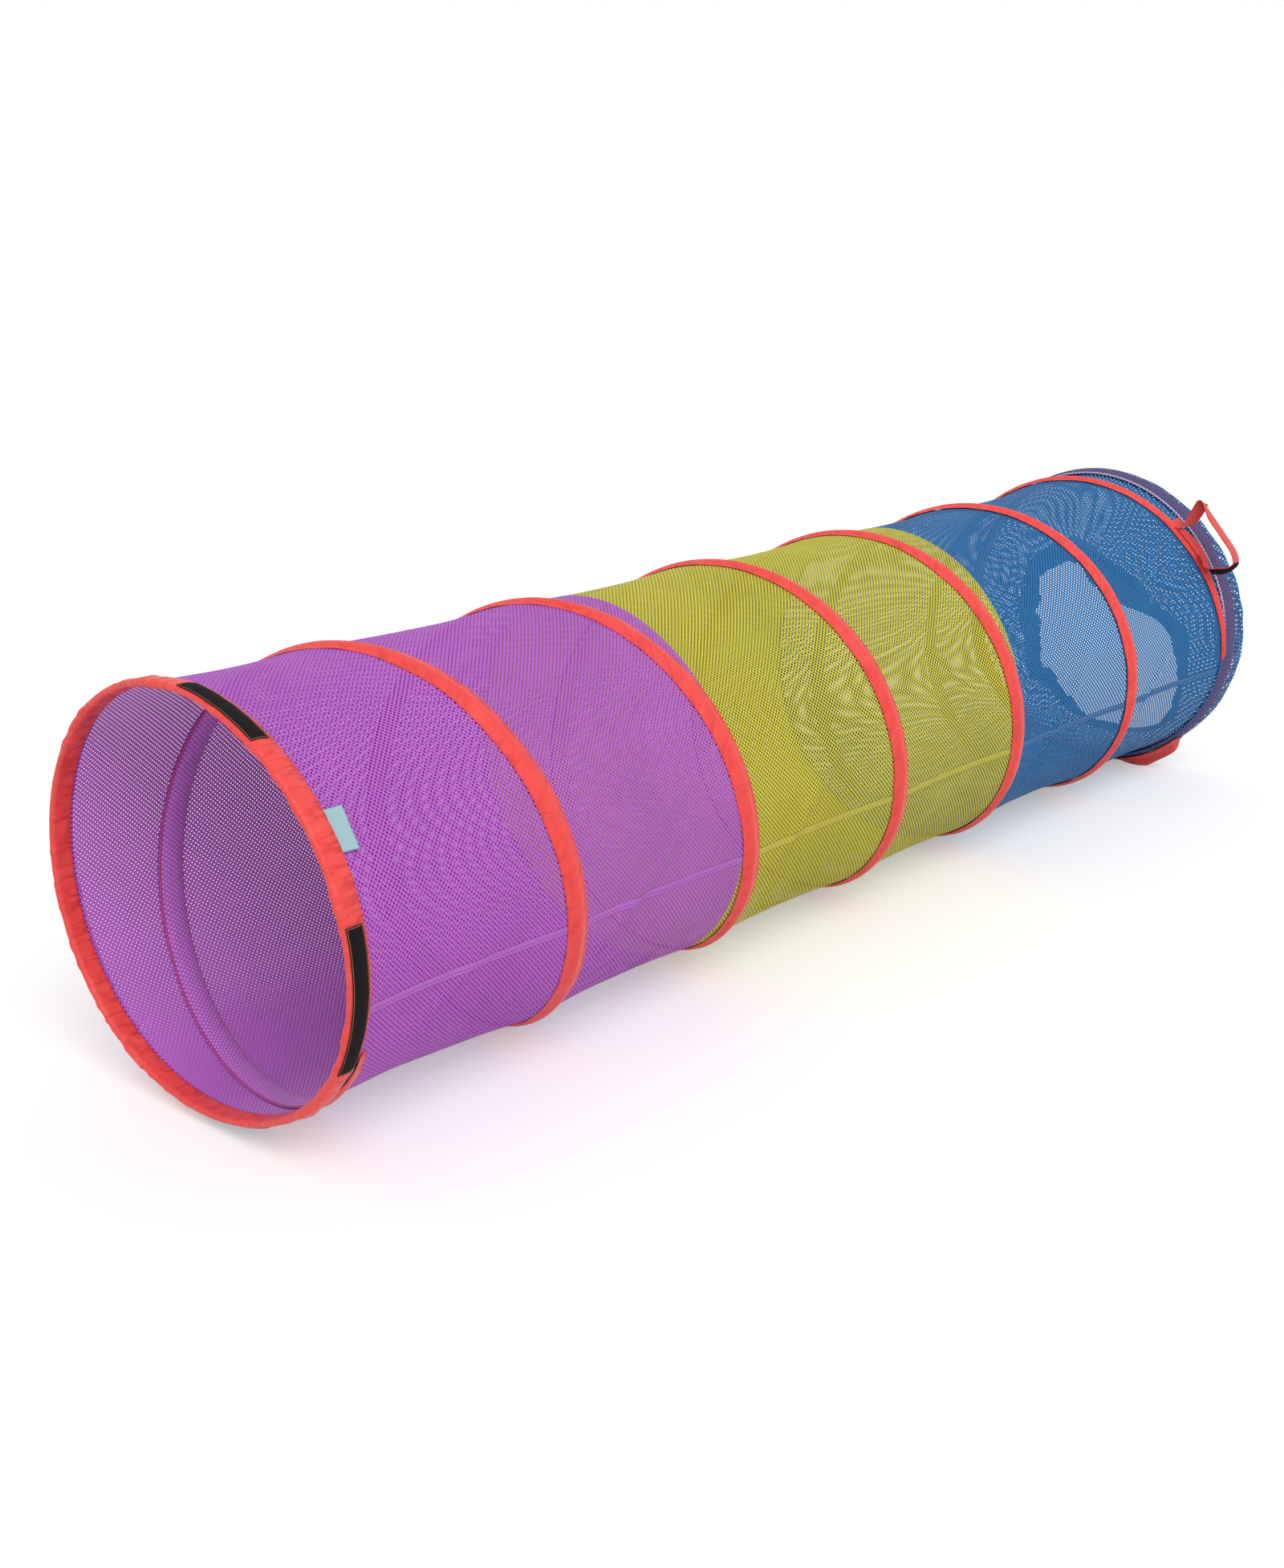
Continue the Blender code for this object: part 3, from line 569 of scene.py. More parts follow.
def clothRadius(x, angle):
    wires = wiresAt(angle)
    x = min(max(x, 0.0001), tunnel["length"] - 0.0001)
    i = max(k for k, wire in enumerate(wires[:-1]) if wire <= x)
    a, b = wires[i], wires[i + 1]
    gap = b - a
    f = (x - a) / max(gap, 0.001)
    belly = (4 * f * (1 - f)) ** 0.9
    sag = cloth["sag"] * min(gap / cloth["sagGap"], 1.2) * belly
    ridgeAlong, ridgeRound, ridges = cloth["ridges"]
    swellAlong, swellRound, swells = cloth["swells"]
    ridge = hypot(ripple(x, angle - cloth["twists"][0] * x, ridgeAlong, ridgeRound, 9.0), 0.12)
    swell = ripple(x, angle + cloth["twists"][1] * x, swellAlong, swellRound, 3.0)
    crease = swell * swells - ridge * ridges
    calm = min(belly * 1.6, 1.0) * min(gap / cloth["nearest"], 1.0)
    off = min(abs(x - cloth["middle"]) / cloth["middleHalf"], 1.0)
    calm *= cloth["tightest"] + (1 - cloth["tightest"]) * off**4
    return cloth["radius"] - sag + (crease * cloth["creases"] + pulled(x, angle)) * calm


def pulled(x, angle):  # the sum of the pulled creases
    total = 0.0
    radius = cloth["radius"]
    first, last = cloth["foldWidth"]
    dip, beside = cloth["trough"]
    for startX, startAngle, endX, endAngle, depth, width in cloth["folds"]:
        start = Vector((startX, radians(startAngle) * radius))
        run = Vector((endX, radians(endAngle) * radius)) - start
        off = Vector((x, angle * radius)) - start
        off.y = (off.y + pi * radius) % (tau * radius) - pi * radius
        share = off.dot(run) / run.length_squared
        if 0 < share < 1:
            aside = (off.x * run.y - off.y * run.x) / run.length / (width * (first + (last - first) * share))
            fold = exp(-aside * aside) - dip * exp(-((aside - beside) ** 2))
            total += depth * sin(pi * share) * fold
    return total


def edgeX(k, side, angle):  # the ends of the lengths: 0 is at the front hoop and 3 at the rear one
    if k == 0:
        return cloth["fromHoop"]
    if k == 3:
        return tunnel["length"] - cloth["fromHoop"]
    place, tilt, lean = tunnel["borders"][k - 1]
    radius = cloth["radius"]
    return place - tilt * radius * cos(angle) + lean * radius * sin(angle) + side * cloth["overlap"]


def makeMeshLength(k, which):
    girth = tau * cloth["radius"]

    def where(s, t):
        angle = tunnel["seam"] + t * tau
        a, b = edgeX(k, -1, angle), edgeX(k + 1, 1, angle)
        return a + (b - a) * s, angle

    def place(s, t):
        x, angle = where(s, t)
        return spot(x, angle, clothRadius(x, angle) - cloth["layers"][k])

    def mapPlace(s, t):
        return where(s, t)[0], t * girth

    name, material = "mesh" + which.capitalize(), meshMaterial(which + "Mesh", which, girth)
    made = layGrid(name, cloth["cellsAlong"], cloth["cellsRound"], place, mapPlace, material, True)
    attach(made, "front")
    flattenWith(made)
    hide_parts("mesh_" + which)
    width = edgeX(k + 1, 1, pi / 2) - edgeX(k, -1, pi / 2)


for lengthNumber, lengthColor in enumerate(("violet", "lime", "blue")):
    makeMeshLength(lengthNumber, lengthColor)
print("mesh lengths sewn")


# the tape outside the coil, and the channel of doubled mesh inside it
tape = {
    "width": 0.0305,
    "cloth": 0.00054,
    "above": 0.0007,  # its middle over the mesh
    "humpHalf": 0.0105,
    "humpRise": 0.0036,
    "pucker": 0.0009,
    "puckerLow": -0.0002,
    "drift": 0.0019,
    "narrowing": ((4.9, 5.2, 0.80), (5.90, 6.03, 0.40)),  # from turn, to turn, share of the width left
    "cellsTurn": 150,
    "cellsAcross": 20,
    "sleeve": 0.0243,
}
tapeLook = {
    "roughness": 0.62,
    "sheen": 0.20,
    "wear": 0.22,
    # colour of the painted highlight on the crests of the gathers
    "light": (0.98, 0.14, 0.11),
    "stitchRows": (-0.0134, 0.0134),
    "middle": 0.0,
    "half": tape["width"] / 2,
    "gathers": (34.0, 26.0),  # to the metre along and across
    "slant": 30.0,
    "depth": 0.7,
}
channel = {
    "width": 0.0300,
    "depth": 0.0066,
    "below": 0.0016,
    "wave": 0.0004,
    "stitchInset": 0.0012,
    "stitch": (0.0016, 0.0036, 0.8),  # width, pitch and share that is thread
    "cellsAcross": 14,
}


def betweenSleeves(across, x):  # the tape ends at the sleeves
    half = tape["width"] / 2
    low = max(-half, tape["sleeve"] - x)
    high = min(half, tunnel["length"] - tape["sleeve"] - x)
    return min(max(across, low), high)


def turnParts():
    first, last = tunnel["tapeEnds"]
    cuts = [first] + [tunnel["tapeCut"] + i for i in range(1, 6)] + [last]
    return list(zip(cuts, cuts[1:]))


def tapeShare(turn):
    share = 1.0
    for first, last, left in tape["narrowing"]:
        share *= 1 - (1 - left) * smooth((turn - first) / (last - first))
    return share


def tapePlace(turn, x, side):  # side runs from -1 to 1 across
    share = tapeShare(turn)
    across = betweenSleeves(tape["width"] / 2 * share * side, x)
    hump = cos(min(abs(across) / tape["humpHalf"] / share, 1.0) * pi / 2) * tape["humpRise"]
    edge = abs(across) / (tape["width"] / 2)
    pucker = stir(turn * 60.0, across * 110.0 + turn * 9.0, 2.0)
    pucker = max(pucker * tape["pucker"] * (0.4 + 0.6 * edge), tape["puckerLow"])
    drift = stir(turn * 22.0, 7.0 + copysign(3.0, across), 0.0)
    return x + across + drift * tape["drift"] * edge, tape["above"] + hump + pucker


def channelPlace(turn, x, side):
    rise = cos(side * pi / 2) ** 0.8 * channel["depth"]
    rise *= 1 + 0.25 * stir(turn * 60.0, 1.0, 4.0)
    across = betweenSleeves(channel["width"] / 2 * side, x)
    wave = stir(turn * 80.0, across * 90.0, 8.0) * channel["wave"]
    return x + across, wave - channel["below"] - rise


def layOnCoil(name, index, first, last, look, placeAcross, material):
    def turnAt(s):
        return first + (last - first) * s

    def place(s, t):
        turn = turnAt(s)
        angle = -tau * turn
        x, lift = placeAcross(turn, coilX(turn), 2 * t - 1)
        return spot(x, angle, clothRadius(x, angle) + lift)

    def mapPlace(s, t):
        return turnAt(s) * tau * tunnel["hoop"], look["width"] / 2 * (2 * t - 1)

    cells = round((last - first) * tape["cellsTurn"])
    made = layGrid(f"{name}{index + 1}", cells, look["cellsAcross"], place, mapPlace, material)
    if "cloth" in look:
        thicken(made, look["cloth"])
    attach(made, f"turn_{index + 1}")
    flattenWith(made)
    return made


def channelMaterial():
    made, tree = startMaterial("channelMesh", {"Roughness": 0.75, "Sheen Weight": 0.2})
    x, aside, above = parts(objectPlace(tree), 0, 1, 2)
    along, across = clothPlace(tree)
    tone, deep = colors["violet"], colors["violetDeep"]
    for (place, tilt, lean), name in zip(tunnel["borders"], ("lime", "blue")):
        plane = place + (aside - tunnel["side"]) * tilt + (above - tunnel["height"]) * lean
        past = x + tunnel["middle"] > plane
        tone = mixColors(past, tone, colors[name])
        deep = mixColors(past, deep, colors[name + "Deep"])
    wave = lattice(along, across, "violet")
    fine = cloudy(tree, 300.0)
    # lighter dots where the holes lie: painted light showing through the doubled mesh
    tone = mixColors(0.36 + (fine - 0.5) * 0.4 - wave * 0.12, tone, deep)
    tone = mixColors(wave.soft(0.9, 1.3) * 0.42, tone, colors["white"])
    edge, half, inset = abs(across), channel["width"] / 2, channel["stitchInset"]
    rows = [dashes(along, across, row, *channel["stitch"]) for row in (half - inset, inset - half)]
    # painted shade towards the rounded edges of the channel
    tone = mixColors(edge.soft(half - 0.004, half) * 0.3, tone, deep)
    tone = mixColors(rows[0].most(rows[1]) * 0.9, tone, colors["magenta"])
    height = wave * -0.2 + fine * 0.2 - edge.soft(half - 0.003, half - 0.001) * 1.5
    return feed(made, {"Base Color": tone, "Normal": bump(height, 0.0005, 0.7)})


def makeTapes():
    red, doubled = redMaterial("redTape", tapeLook), channelMaterial()
    for index, ends in enumerate(turnParts()):
        made = layOnCoil("tape", index, *ends, tape, tapePlace, red)
        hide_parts(f"tape_{index + 1}")
        layOnCoil("channel", index, *ends, channel, channelPlace, doubled)


makeTapes()
print("tape and channel sewn over the coil")


# the wires
coil = {
    "sides": 10,
    "cellsTurn": 96,
    "hoopCells": 192,
    "crimpLength": 0.020,
    "crimpWall": 0.0009,
    "crimpTurns": (-0.05, 6.125),
    "crimpCells": (20, 16),
}


def plainMap(s, t):
    return s, t


def roundWire(x, angle, t):
    turn, wire = tau * t, tunnel["wire"]
    return spot(x + wire * cos(turn), angle, tunnel["hoop"] + wire * sin(turn))


def makeCoil(material):
    first, last = tunnel["coilStart"], tunnel["coilEnd"]

    def place(s, t):
        turn = first + (last - first) * s
        return roundWire(coilX(turn), -tau * turn, t)

    cells = round((last - first) * coil["cellsTurn"])
    made = layGrid("coilWire", cells, coil["sides"], place, plainMap, material, True)
    bm = bmesh.new()
    bm.from_mesh(made.data)
    bmesh.ops.holes_fill(bm, edges=[e for e in bm.edges if e.is_boundary])
    bmesh.ops.recalc_face_normals(bm, faces=bm.faces)
    bm.to_mesh(made.data)
    bm.free()
    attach(made, "front")
    flattenWith(made)
    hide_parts("coil_wire")


def makeHoop(body, hoopX, material):
    def place(s, t):
        return roundWire(hoopX, tau * s, t)

    made = layGrid(body + "Hoop", coil["hoopCells"], coil["sides"], place, plainMap, material, True)
    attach(made, body)
    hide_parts(body + "_hoop_wire")


def makeCrimp(body, hoopX, turn, material):
    half = coil["crimpLength"] / tunnel["hoop"] / 2
    lead = abs(coilX(turn) - hoopX)
    side = 1 if coilX(turn) > hoopX else -1

    def place(s, t):
        cap = sin(pi * s) ** 0.12 if 0 < s < 1 else 0.35
        grow = (tunnel["wire"] + coil["crimpWall"]) * cap
        x = hoopX + side * (lead / 2 + (lead / 2 + grow) * cos(tau * t))
        angle = half * (2 * s - 1) - tau * turn
        return spot(x, angle, tunnel["hoop"] + grow * sin(tau * t))

    made = layGrid(body + "Crimp", *coil["crimpCells"], place, plainMap, material, True)
    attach(made, body)
    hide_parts(body + "_crimp")


def makeWires():
    steel = steelMaterial()
    makeCoil(steel)
    ends = (("front", 0.0), ("rear", tunnel["length"]))
    for end in ends:
        makeHoop(*end, steel)
    for end, turn in zip(ends, coil["crimpTurns"]):
        makeCrimp(*end, turn, steel)


makeWires()
print("coil wound")


# the nylon sleeves over the hoops
sleeve = {
    "width": 0.024,
    "nose": 0.0046,
    "outer": 0.2414,
    "inner": 0.2331,
    "inside": 0.018,  # reach of the leaf inside the tunnel
    "edgeOuter": 0.2382,
    "leaf": 0.40,  # share of the section that each flat leaf takes
    "section": 2.25,  # length of the whole section, in widths
    "sewn": 0.008,  # where the leaf lies flat along its seam
    "cloth": 0.0008,
    "pucker": 0.0019,
    "lump": 0.0016,
    "lowest": -0.0004,
    "edgeWave": 0.0010,
    "reaches": (17.0, 30.0, 5.0, 24.0),  # round, of the gathers, the fine ones, the lumps and the edge
    "coilEnd": (-43, 9, 0.0035),  # angle, spread and rise where the coil's end runs out under the sleeve
    "cellsRound": 560,
    "cellsSection": 26,
}
sleeveSpan = sleeve["section"] * sleeve["width"]
sleeveLook = {
    "roughness": 0.42,
    "sheen": 0.06,
    "wear": 0.25,
    # colour of the painted highlight on the crests of the gathers
    "light": (0.98, 0.16, 0.13),
    "stitchRows": (0.0022, sleeveSpan - 0.0022),
    "middle": sleeveSpan / 2,
    "half": sleeveSpan / 2,
    "gathers": (62.0, 15.0),  # to the metre along and across
    "slant": 0.0,
    "depth": 1.0,
}
strips = {
    "width": 0.0215,
    "cloth": 0.000715,
    "places": {  # angle and length
        "strip_top": (72, 0.115),
        "strip_near": (-9, 0.160),
        "strip_bottom": (-81, 0.127),
        "strip_far": (171, 0.127),
    },
    "start": -0.0020,
    "lowStarts": {"strip_bottom": 0.0004, "strip_far": 0.0020},  # these two stay inside the rim
    "lowRadius": (0.2420, 0.2414),
    "lift": (0.0016, 0.0005),
    "clear": 0.0012,
    "wave": (0.0005, 0.0006),
    "cellsAlong": 60,
    "cellsAcross": 10,
    "stitchInset": 0.0016,
    "hold": 0.004,  # how far past its ends a strip still holds the sleeve
}


def sleeveOutline(share):  # distance from the hoop towards the middle, and radius, along the fold
    middle = (sleeve["outer"] + sleeve["inner"]) / 2
    half = (sleeve["outer"] - sleeve["inner"]) / 2
    leaf = sleeve["leaf"]
    if share < leaf:
        f = share / leaf
        rise = (sleeve["outer"] - sleeve["edgeOuter"]) * smooth(f * 1.5)
        return sleeve["width"] * (1 - f), sleeve["edgeOuter"] + rise
    if share > 1 - leaf:
        return sleeve["inside"] * (share - 1 + leaf) / leaf, sleeve["inner"]
    turn = pi * (share - leaf) / (1 - 2 * leaf)
    return -sleeve["nose"] * sin(turn), middle + half * cos(turn)


def apart(angle, degrees):
    return abs((angle - radians(degrees) + pi) % tau - pi)


def bulge(angle):
    place, spread, rise = sleeve["coilEnd"]
    return rise * exp(-((apart(angle, place) / radians(spread)) ** 2))


def underStrip(angle):  # 1 where a strip holds the front sleeve flat
    share = 0.0
    for middle, length in strips["places"].values():
        off = apart(angle, middle) * tunnel["hoop"]
        share = max(share, smooth((length / 2 + strips["hold"] - off) / strips["hold"] / 2))
    return share


def makeSleeve(name, node, hoopX, side, body, material, seed, lively=1.0):
    def place(s, t):
        angle = s * tau
        dx, radius = sleeveOutline(t)
        sewn = smooth(((sleeve["width"] if t < 0.5 else sleeve["inside"]) - dx) / sleeve["sewn"])
        broad, fine, lumps, edges = sleeve["reaches"]
        gather = ripple(dx * 0.3 + t, angle, 2.5, broad, seed) + 0.8 * ripple(t, angle, 3.0, fine, seed + 4)
        lump = ripple(0.0, angle, 1.0, lumps, seed + 8)
        swell = (gather * sleeve["pucker"] + lump * sleeve["lump"]) * lively * sewn
        if side > 0 and t < 0.5:
            swell *= 1 - underStrip(angle)
            radius += bulge(angle) * sewn
        swell = max(swell, sleeve["lowest"])
        nose = sin(pi * min(max((t - sleeve["leaf"]) / (1 - 2 * sleeve["leaf"]), 0.0), 1.0))
        radius += (1 if t < 0.5 else -1) * (1 - nose) * swell
        edgeWave = sleeve["edgeWave"] * ripple(t, angle, 1.0, edges, seed + 2) * (1 - sewn)
        return spot(hoopX + side * (dx - nose * swell * 1.2 + edgeWave), angle, radius)

    def mapPlace(s, t):
        return s * tau * tunnel["hoop"], t * sleeveSpan

    made = layGrid(name, sleeve["cellsRound"], sleeve["cellsSection"], place, mapPlace, material, True)
    thicken(made, sleeve["cloth"], -1.0 if side > 0 else 1.0)
    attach(made, body)
    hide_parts(node)


def makeSleeves():
    nylon = redMaterial("redNylon", sleeveLook)
    makeSleeve("frontSleeve", "front_sleeve", 0.0, 1, "front", nylon, 11.0)
    makeSleeve("rearSleeve", "rear_sleeve", tunnel["length"], -1, "rear", nylon, 31.0, 0.12)


makeSleeves()
print("sleeves folded over the hoops")


# hook-and-loop strips and the label
def makeStrip(node, middle, length):
    name = "strip" + node.split("_")[1].capitalize()
    material = pileMaterial(name + "Pile", (length, strips["width"] / 2, strips["stitchInset"]))
    half = length / tunnel["hoop"] / 2
    start = strips["lowStarts"].get(node, strips["start"])

    def place(s, t):
        angle = radians(middle) + half * (2 * s - 1)
        dx = start + strips["width"] * t
        _, under = sleeveOutline(sleeve["leaf"] * (1 - min(max(dx, 0.0) / sleeve["width"], 1.0)))
        wave = strips["wave"][0] * stir(s * 9.0 + middle, t * 2.0, 3.0)
        drift = strips["wave"][1] * stir(s * 6.0, middle, 1.0)
        radius = max(under, sleeve["edgeOuter"]) + strips["lift"][0] - strips["lift"][1] * (1 - t)
        radius = max(radius + wave, under + strips["clear"])
        if node in strips["lowStarts"]:
            radius = min(radius, strips["lowRadius"][dx <= 0])
        return spot(dx + drift, angle, radius)

    def mapPlace(s, t):
        return s * length, (t - 0.5) * strips["width"]

    made = layGrid(name, strips["cellsAlong"], strips["cellsAcross"], place, mapPlace, material)
    thicken(made, strips["cloth"])
    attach(made, "front")
    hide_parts(node)


for stripNode, stripPlace in strips["places"].items():
    makeStrip(stripNode, *stripPlace)

label = {
    "length": 0.0238,
    "height": 0.044,
    "angle": radians(31.5),
    "start": 0.0200,
    "cloth": 0.0006,
    "skew": (0.05, -0.04),
    "lift": 0.0009,
    "curl": 0.0020,
    "cells": (24, 28),
}


def makeLabel():
    middle = label["start"] + label["length"] / 2

    def place(s, t):
        across, up = mapPlace(s, t)
        curl = label["curl"] * smooth((s - 0.5) * 2) * (0.4 + 0.6 * abs(2 * t - 1))
        angle = label["angle"] + (up + label["skew"][1] * across) / cloth["radius"]
        return spot(middle + across + label["skew"][0] * up, angle, cloth["radius"] + label["lift"] + curl)

    def mapPlace(s, t):
        return label["length"] * (s - 0.5), label["height"] * (t - 0.5)

    made = layGrid("sewnLabel", *label["cells"], place, mapPlace, labelMaterial())
    thicken(made, label["cloth"])
    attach(made, "front")
    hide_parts("label")


makeLabel()
print("strips and label sewn on")


# the skirt, turned round the rear hoop and tucked into the tunnel
skirt = {
    "start": 0.0275,  # in front of the rear hoop, on the outside
    "edge": 0.2356,
    "outer": 0.2426,
    "inner": 0.2325,
    "bulge": 0.0075,
    "bulgeMore": 0.034,
    "bulgeAngle": radians(-12),
    "bulgeWave": 0.0022,
    "overSleeve": 0.0014,
    "shares": (0.16, 0.44),  # of the path: where it turns round the hoop, and where it is turned in
    "crumple": (0.0030, 0.08),
    "hemDepth": 0.053,
    "hem": (0.84, 0.998),  # share of the path, from and to
    "hemInset": 0.0016,
    "basting": 0.0024,
    "folds": 7,
    "foldWave": 0.0125,
    "sag": 0.010,
    "kinks": (0.012, 0.006),
    "hems": (0.63, 0.35, 0.27, 0.34, 0.40, 0.40, 0.34, 0.38, 0.46, 0.59, 0.80, 0.86),  # every 30 degrees
    "girth": (1.49, 1.05),  # of the map, outside and tucked in
    "girthChange": 0.45,
    "runs": (0.0275, 0.045, 0.130),  # cloth on the outside, round the hoop and down to the hem
    "pastHoop": 0.020,  # of the cloth, to where it counts as turned in
    "cellsRound": 320,
    "cellsPath": (80, 16),  # of the skirt and its hem
}


def aroundBlend(values, angle):
    place = (angle / tau % 1.0) * len(values)
    near = [values[(int(place) + k) % len(values)] for k in (-1, 0, 1, 2)]
    return through(*near, place - int(place))


def skirtPoint(angle, t):  # x from the rear hoop and radius, from the outside edge to the hem
    leaf, turned = skirt["shares"]
    reach = skirt["bulge"] + skirt["bulgeMore"] * ((1 + cos(angle - skirt["bulgeAngle"])) / 2) ** 3
    reach += skirt["bulgeWave"] * ripple(0.0, angle, 1.0, 4.0, 6.0)
    if t < leaf:
        f = t / leaf
        step = sleeve["edgeOuter"] + skirt["overSleeve"]
        radius = skirt["edge"] + (step - skirt["edge"]) * smooth(f * 7)
        return -skirt["start"] * (1 - f), radius + (skirt["outer"] - step) * smooth(f * 1.4)
    middle, half = (skirt["outer"] + skirt["inner"]) / 2, (skirt["outer"] - skirt["inner"]) / 2
    if t < turned:
        turn = pi * (t - leaf) / (turned - leaf)
        crumple = skirt["crumple"][0] + skirt["crumple"][1] * (reach - skirt["bulge"])
        crumple *= ripple(t * 4.0, angle, 2.0, 9.0, 14.0) * sin(turn)
        return reach * sin(turn) ** 0.85 + crumple, middle + half * cos(turn)
    f = (t - turned) / (1 - turned)
    hem = tunnel["hoop"] * aroundBlend(skirt["hems"], angle)
    fold = cos(skirt["folds"] * angle + 0.4 * sin(2 * angle))
    crease = ripple(f * 1.5, angle, 2.2, 6.5, 21.0) + 0.5 * ripple(f, angle, 3.0, 15.0, 25.0)
    wave = skirt["foldWave"] * (fold + 0.9 * crease) * sin(pi * min(f * 1.15, 1.0) / 1.25)
    radius = skirt["inner"] + (hem - skirt["inner"]) * f
    sag = skirt["sag"] * sin(pi * f) * (0.4 + 0.6 * abs(cos(angle)))
    broad, small = skirt["kinks"]
    kink = broad * ripple(0.0, angle, 1.0, 3.4, 41.0) + small * ripple(0.0, angle, 1.0, 8.0, 47.0)
    return -skirt["hemDepth"] * f ** 0.9 + wave - sag * 0.4, radius + wave * 0.25 + kink * f * f


def skirtRun(t):  # metres of cloth along the path
    leaf, turned = skirt["shares"]
    first, second, third = skirt["runs"]
    if t < leaf:
        return first * t / leaf
    if t < turned:
        return first + second * (t - leaf) / (turned - leaf)
    return first + second + third * (t - turned) / (1 - turned)


def makeSkirt():
    girth = skirt["girth"][0]
    turnedIn = skirt["runs"][0] + skirt["pastHoop"]
    netting = meshMaterial("blueSkirtMesh", "skirt", girth, False, skirt["basting"], turnedIn)

    def makePart(name, low, high, inset, cellsPath, material):
        def place(s, t):
            angle = s * tau
            dx, radius = skirtPoint(angle, low + (high - low) * t)
            return spot(tunnel["length"] + dx - inset, angle, radius)

        def mapPlace(s, t):
            across = low + (high - low) * t
            return skirtRun(across), s * skirt["girth"][across >= skirt["girthChange"]]

        return layGrid(name, skirt["cellsRound"], cellsPath, place, mapPlace, material, True)

    made = makePart("rearSkirt", 0.0, 1.0, 0.0, skirt["cellsPath"][0], netting)
    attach(made, "rear")
    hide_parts("rear_skirt")
    deep = skirtRun(1.0)
    area = min(sum(face.area for face in made.data.polygons), girth * deep)
    hem = makePart("skirtHem", *skirt["hem"], skirt["hemInset"], skirt["cellsPath"][1], hemMaterial())
    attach(hem, "rear")


def hemMaterial():
    made, tree = startMaterial("skirtHem", {"Roughness": 0.75})
    wave = lattice(*parts(objectPlace(tree), 1, 2), "blue")
    fine = cloudy(tree, 300.0)
    shade = wave.soft(0.4, 1.4) * 0.6 + fine * 0.4
    tone = mixColors(shade, colors["hem"], colors["hemDeep"])
    return feed(made, {"Base Color": tone, "Normal": bump(wave * -0.3 + fine * 0.2, 0.0005, 0.7)})


makeSkirt()
print("skirt tucked in")


# the strap loops: a route is angle, share of the height and the turn of the webbing
straps = {
    "width": 0.020,
    "cloth": 0.0012,
    "tabGap": 0.0006,
    "samples": 8,
    "cellsAcross": 8,
    "wave": 0.0006,
    "cup": 0.0007,
    "hookWidth": 0.016,
    "hookCloth": 0.0010,
    "hookGap": 0.0008,
    "blend": (0.001, 0.022),  # above the seat, where the loop starts and ends to swing
    "rest": (0.0022, 0.0008),  # how low the loop's and the hook pad's middle may lie on the floor
    "upper": {
        "height": 0.055,
        "base": 0.24095,
        "x": 1.77343,
        "bodies": ("turn_6", "upper_loop"),
        "hook": (9, 12),
        "hookSide": -1,
        "pivot": 43.0,
        "route": (
            (51.5, 0, -20), (48.8, 0, -20), (46.8, 0.10, 0), (46.8, 0.42, 44), (47.9, 0.84, 56),
            (48.2, 1, 25), (43.0, 0.92, 0), (36.5, 0.94, 0), (30.6, 1, 0), (27.2, 0.94, 0), (26.0, 0.70, -15),
            (26.4, 0.38, -35), (27.6, 0.13, -35), (29.8, 0, -20), (32.5, 0, -30), (35.0, 0, -30),
        ),
    },
    "lower": {
        "height": 0.02542,
        "base": 0.2436,
        "x": 1.818,
        "bodies": ("rear", "lower_loop"),
        "hook": (6, 9),
        "hookSide": 1,
        "pivot": -61.75,
        "route": (
            (-45.5, 0, 0), (-47.6, 0, -10), (-49.2, 0.08, -30), (-50.6, 0.18, -50), (-52.4, 0.24, -62),
            (-55.5, 0.26, -70), (-59.4, 0.30, -70), (-63.6, 0.40, -70), (-67.6, 0.47, -64),
            (-70.6, 0.38, -50), (-73.0, 0.14, -30), (-75.4, 0, -10), (-77.5, 0, 0),
        ),
    },
}
tabs = {
    "cloth": 0.0008,
    "cells": (40, 10),
    "upper": {"angles": (48.5, 27.5), "radius": 0.2409, "lift": 0.007, "narrow": 0.6, "power": 1.1},
    "lower": {"angles": (-48, -76), "radius": 0.2434, "lift": 0.0075, "narrow": 1, "power": 0.5, "x": 1.819},
}


def strapLine(which):  # number, place and turn of each sample along the route
    nodes = []
    for degrees, share, _ in which["route"]:
        a = radians(degrees)
        r = which["base"] + straps["tabGap"] + straps["cloth"] / 2 + which["height"] * share
        nodes.append(Vector((-r * cos(a), r * sin(a))))
    nodes = [nodes[0] * 2 - nodes[1], *nodes, nodes[-1] * 2 - nodes[-2]]
    turns = [turn for _, _, turn in which["route"]]
    line = []
    for i in range(len(turns) - 1):
        for k in range(straps["samples"]):
            f = k / straps["samples"]
            line.append((i + f, through(*nodes[i:i + 4], f), turns[i] + (turns[i + 1] - turns[i]) * f))
    line.append((len(turns) - 1.0, nodes[-2], turns[-1]))
    return line


def layBand(name, line, offset, width, thickness, x, lowest, material):
    places = [place for _, place, _ in line]
    lengths = [0.0]
    for a, b in zip(places, places[1:]):
        lengths.append(lengths[-1] + (b - a).length)
    cells = len(places) - 1

    def place(s, t):
        i = round(s * cells)
        run = (places[min(i + 1, cells)] - places[max(i - 1, 0)]).normalized()
        out = Vector((-run.y, run.x))
        across = width * (t - 0.5)
        turn = radians(line[i][2])
        wave = straps["wave"] * stir(s * 14.0 + 3.0, t * 2.0, 3.0)
        away = offset + wave + straps["cup"] * (2 * abs(t - 0.5)) ** 2
        p = places[i] + out * (across * sin(turn) + away * cos(turn))
        aside = across * cos(turn) - away * sin(turn)
        laid = spot(x + aside, atan2(p.y, -p.x), p.length)
        laid.z = max(laid.z, lowest)
        return laid

    def mapPlace(s, t):
        return lengths[round(s * cells)], width * (t - 0.5)

    made = layGrid(name, cells, straps["cellsAcross"], place, mapPlace, material)
    thicken(made, thickness)
    return made


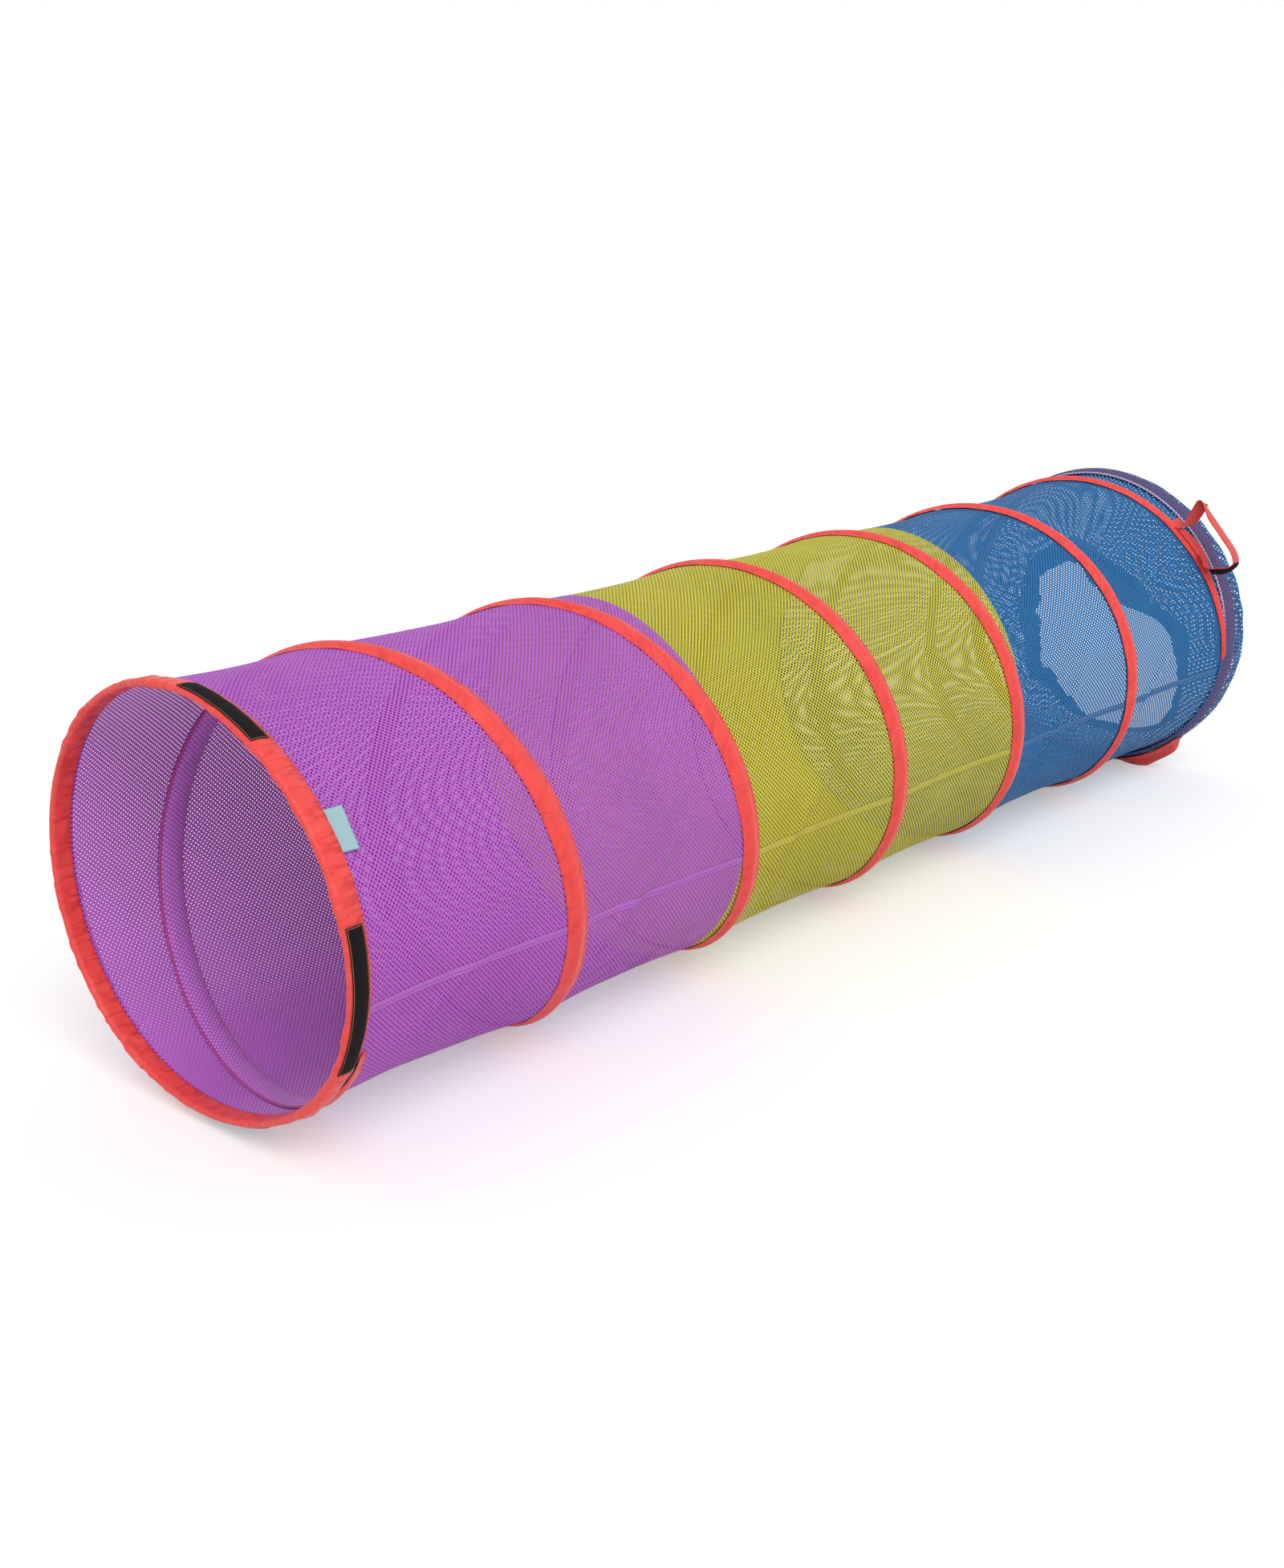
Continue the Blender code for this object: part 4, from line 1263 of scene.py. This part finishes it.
def makeStraps():
    webbing = webbingMaterial("redWebbing")
    pile = pileMaterial("hookPad")
    for word in ("upper", "lower"):
        which = straps[word]
        x, (low, high), rest = which["x"], which["hook"], straps["rest"]
        line = strapLine(which)
        part = [p for p in line if low <= p[0] <= high]
        strap = layBand(word + "Strap", line, 0.0, straps["width"], straps["cloth"], x, rest[0], webbing)
        away = which["hookSide"] * (straps["cloth"] / 2 + straps["hookGap"])
        hook = layBand(word + "Hook", part, away, straps["hookWidth"], straps["hookCloth"], x, rest[1], pile)
        seat = which["base"] + straps["tabGap"]
        start, end = (spot(x, radians(which["pivot"]), seat + rise) for rise in straps["blend"])
        for piece in (strap, hook):
            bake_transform(piece)
            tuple(start)
            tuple(end)
        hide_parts(word + "_strap")
        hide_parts(word + "_strap_hook")
    for word in ("upper", "lower"):
        tab = makeTab(word + "Tab", tabs[word], straps[word]["bodies"][0], webbing)
        if word == "upper":
            flattenWith(tab)


def makeTab(name, look, body, material):  # webbing sewn flat under a loop
    first, last = look["angles"]

    def place(s, t):
        angle = radians(first + (last - first) * s)
        across = straps["width"] * (t - 0.5) * look["narrow"]
        x = look.get("x") or coilX(6 - angle / tau)
        rise = sin(pi * t) if "x" in look else smooth(t)
        lift = look["lift"] * rise * max(sin(pi * s), 0.0) ** look["power"]
        return spot(x + across, angle, look["radius"] + lift)

    def mapPlace(s, t):
        return s * radians(first - last) * look["radius"], straps["width"] * (t - 0.5)

    made = layGrid(name, *tabs["cells"], place, mapPlace, material)
    thicken(made, tabs["cloth"])
    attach(made, body)
    return made


makeStraps()
print("strap loops sewn on")


# floor, light and background
studio = {
    "floor": (0.80, 0.80, 0.80),
    "floorSize": 60.0,
    "ambient": 0.59,
    "lift": 0.36,  # what the floor adds for the camera only
    "sun": 1.36,
    "sunSize": radians(40),
    "sunFrom": (-1.4, -3.0, 3.4),
}


def background(tree):  # 1 where the camera, a mirror or glass looks at it
    seen, mirrored, passed = (tree.node("ShaderNodeLightPath", out=out) for out in (0, 3, 6))
    return seen.most(mirrored).most(passed)


def makeFloor():
    def place(s, t):
        return Vector((2 * s - 1, 2 * t - 1, 0)) * studio["floorSize"]

    paint = {"Roughness": 0.9, "Base Color": rgba(studio["floor"]), "Emission Color": (1, 1, 1, 1)}
    made, tree = startMaterial("floorPaint", paint)
    feed(made, {"Emission Strength": background(tree) * studio["lift"]})
    floor = layGrid("floor", 1, 1, place, plainMap, made)


def makeLight():
    world = bpy.data.worlds.new("studio")
    world.use_nodes = True
    bpy.context.scene.world = world
    world.node_tree.nodes["Background"].inputs["Color"].default_value = (1, 1, 1, 1)
    share = background(Signal(world.node_tree))
    feed(world, {"Strength": share * (1 - studio["ambient"]) + studio["ambient"]}, "Background")
    data = bpy.data.lights.new("key", "SUN")
    data.energy, data.angle = studio["sun"], studio["sunSize"]
    key = addObject("key", data)
    place = Vector(studio["sunFrom"])
    key.matrix_world = Matrix.Translation(place) @ (-place).to_track_quat("-Z", "Y").to_matrix().to_4x4()


makeFloor()
makeLight()
bpy.context.scene.view_settings.view_transform = "Standard"
print("floor and light set")
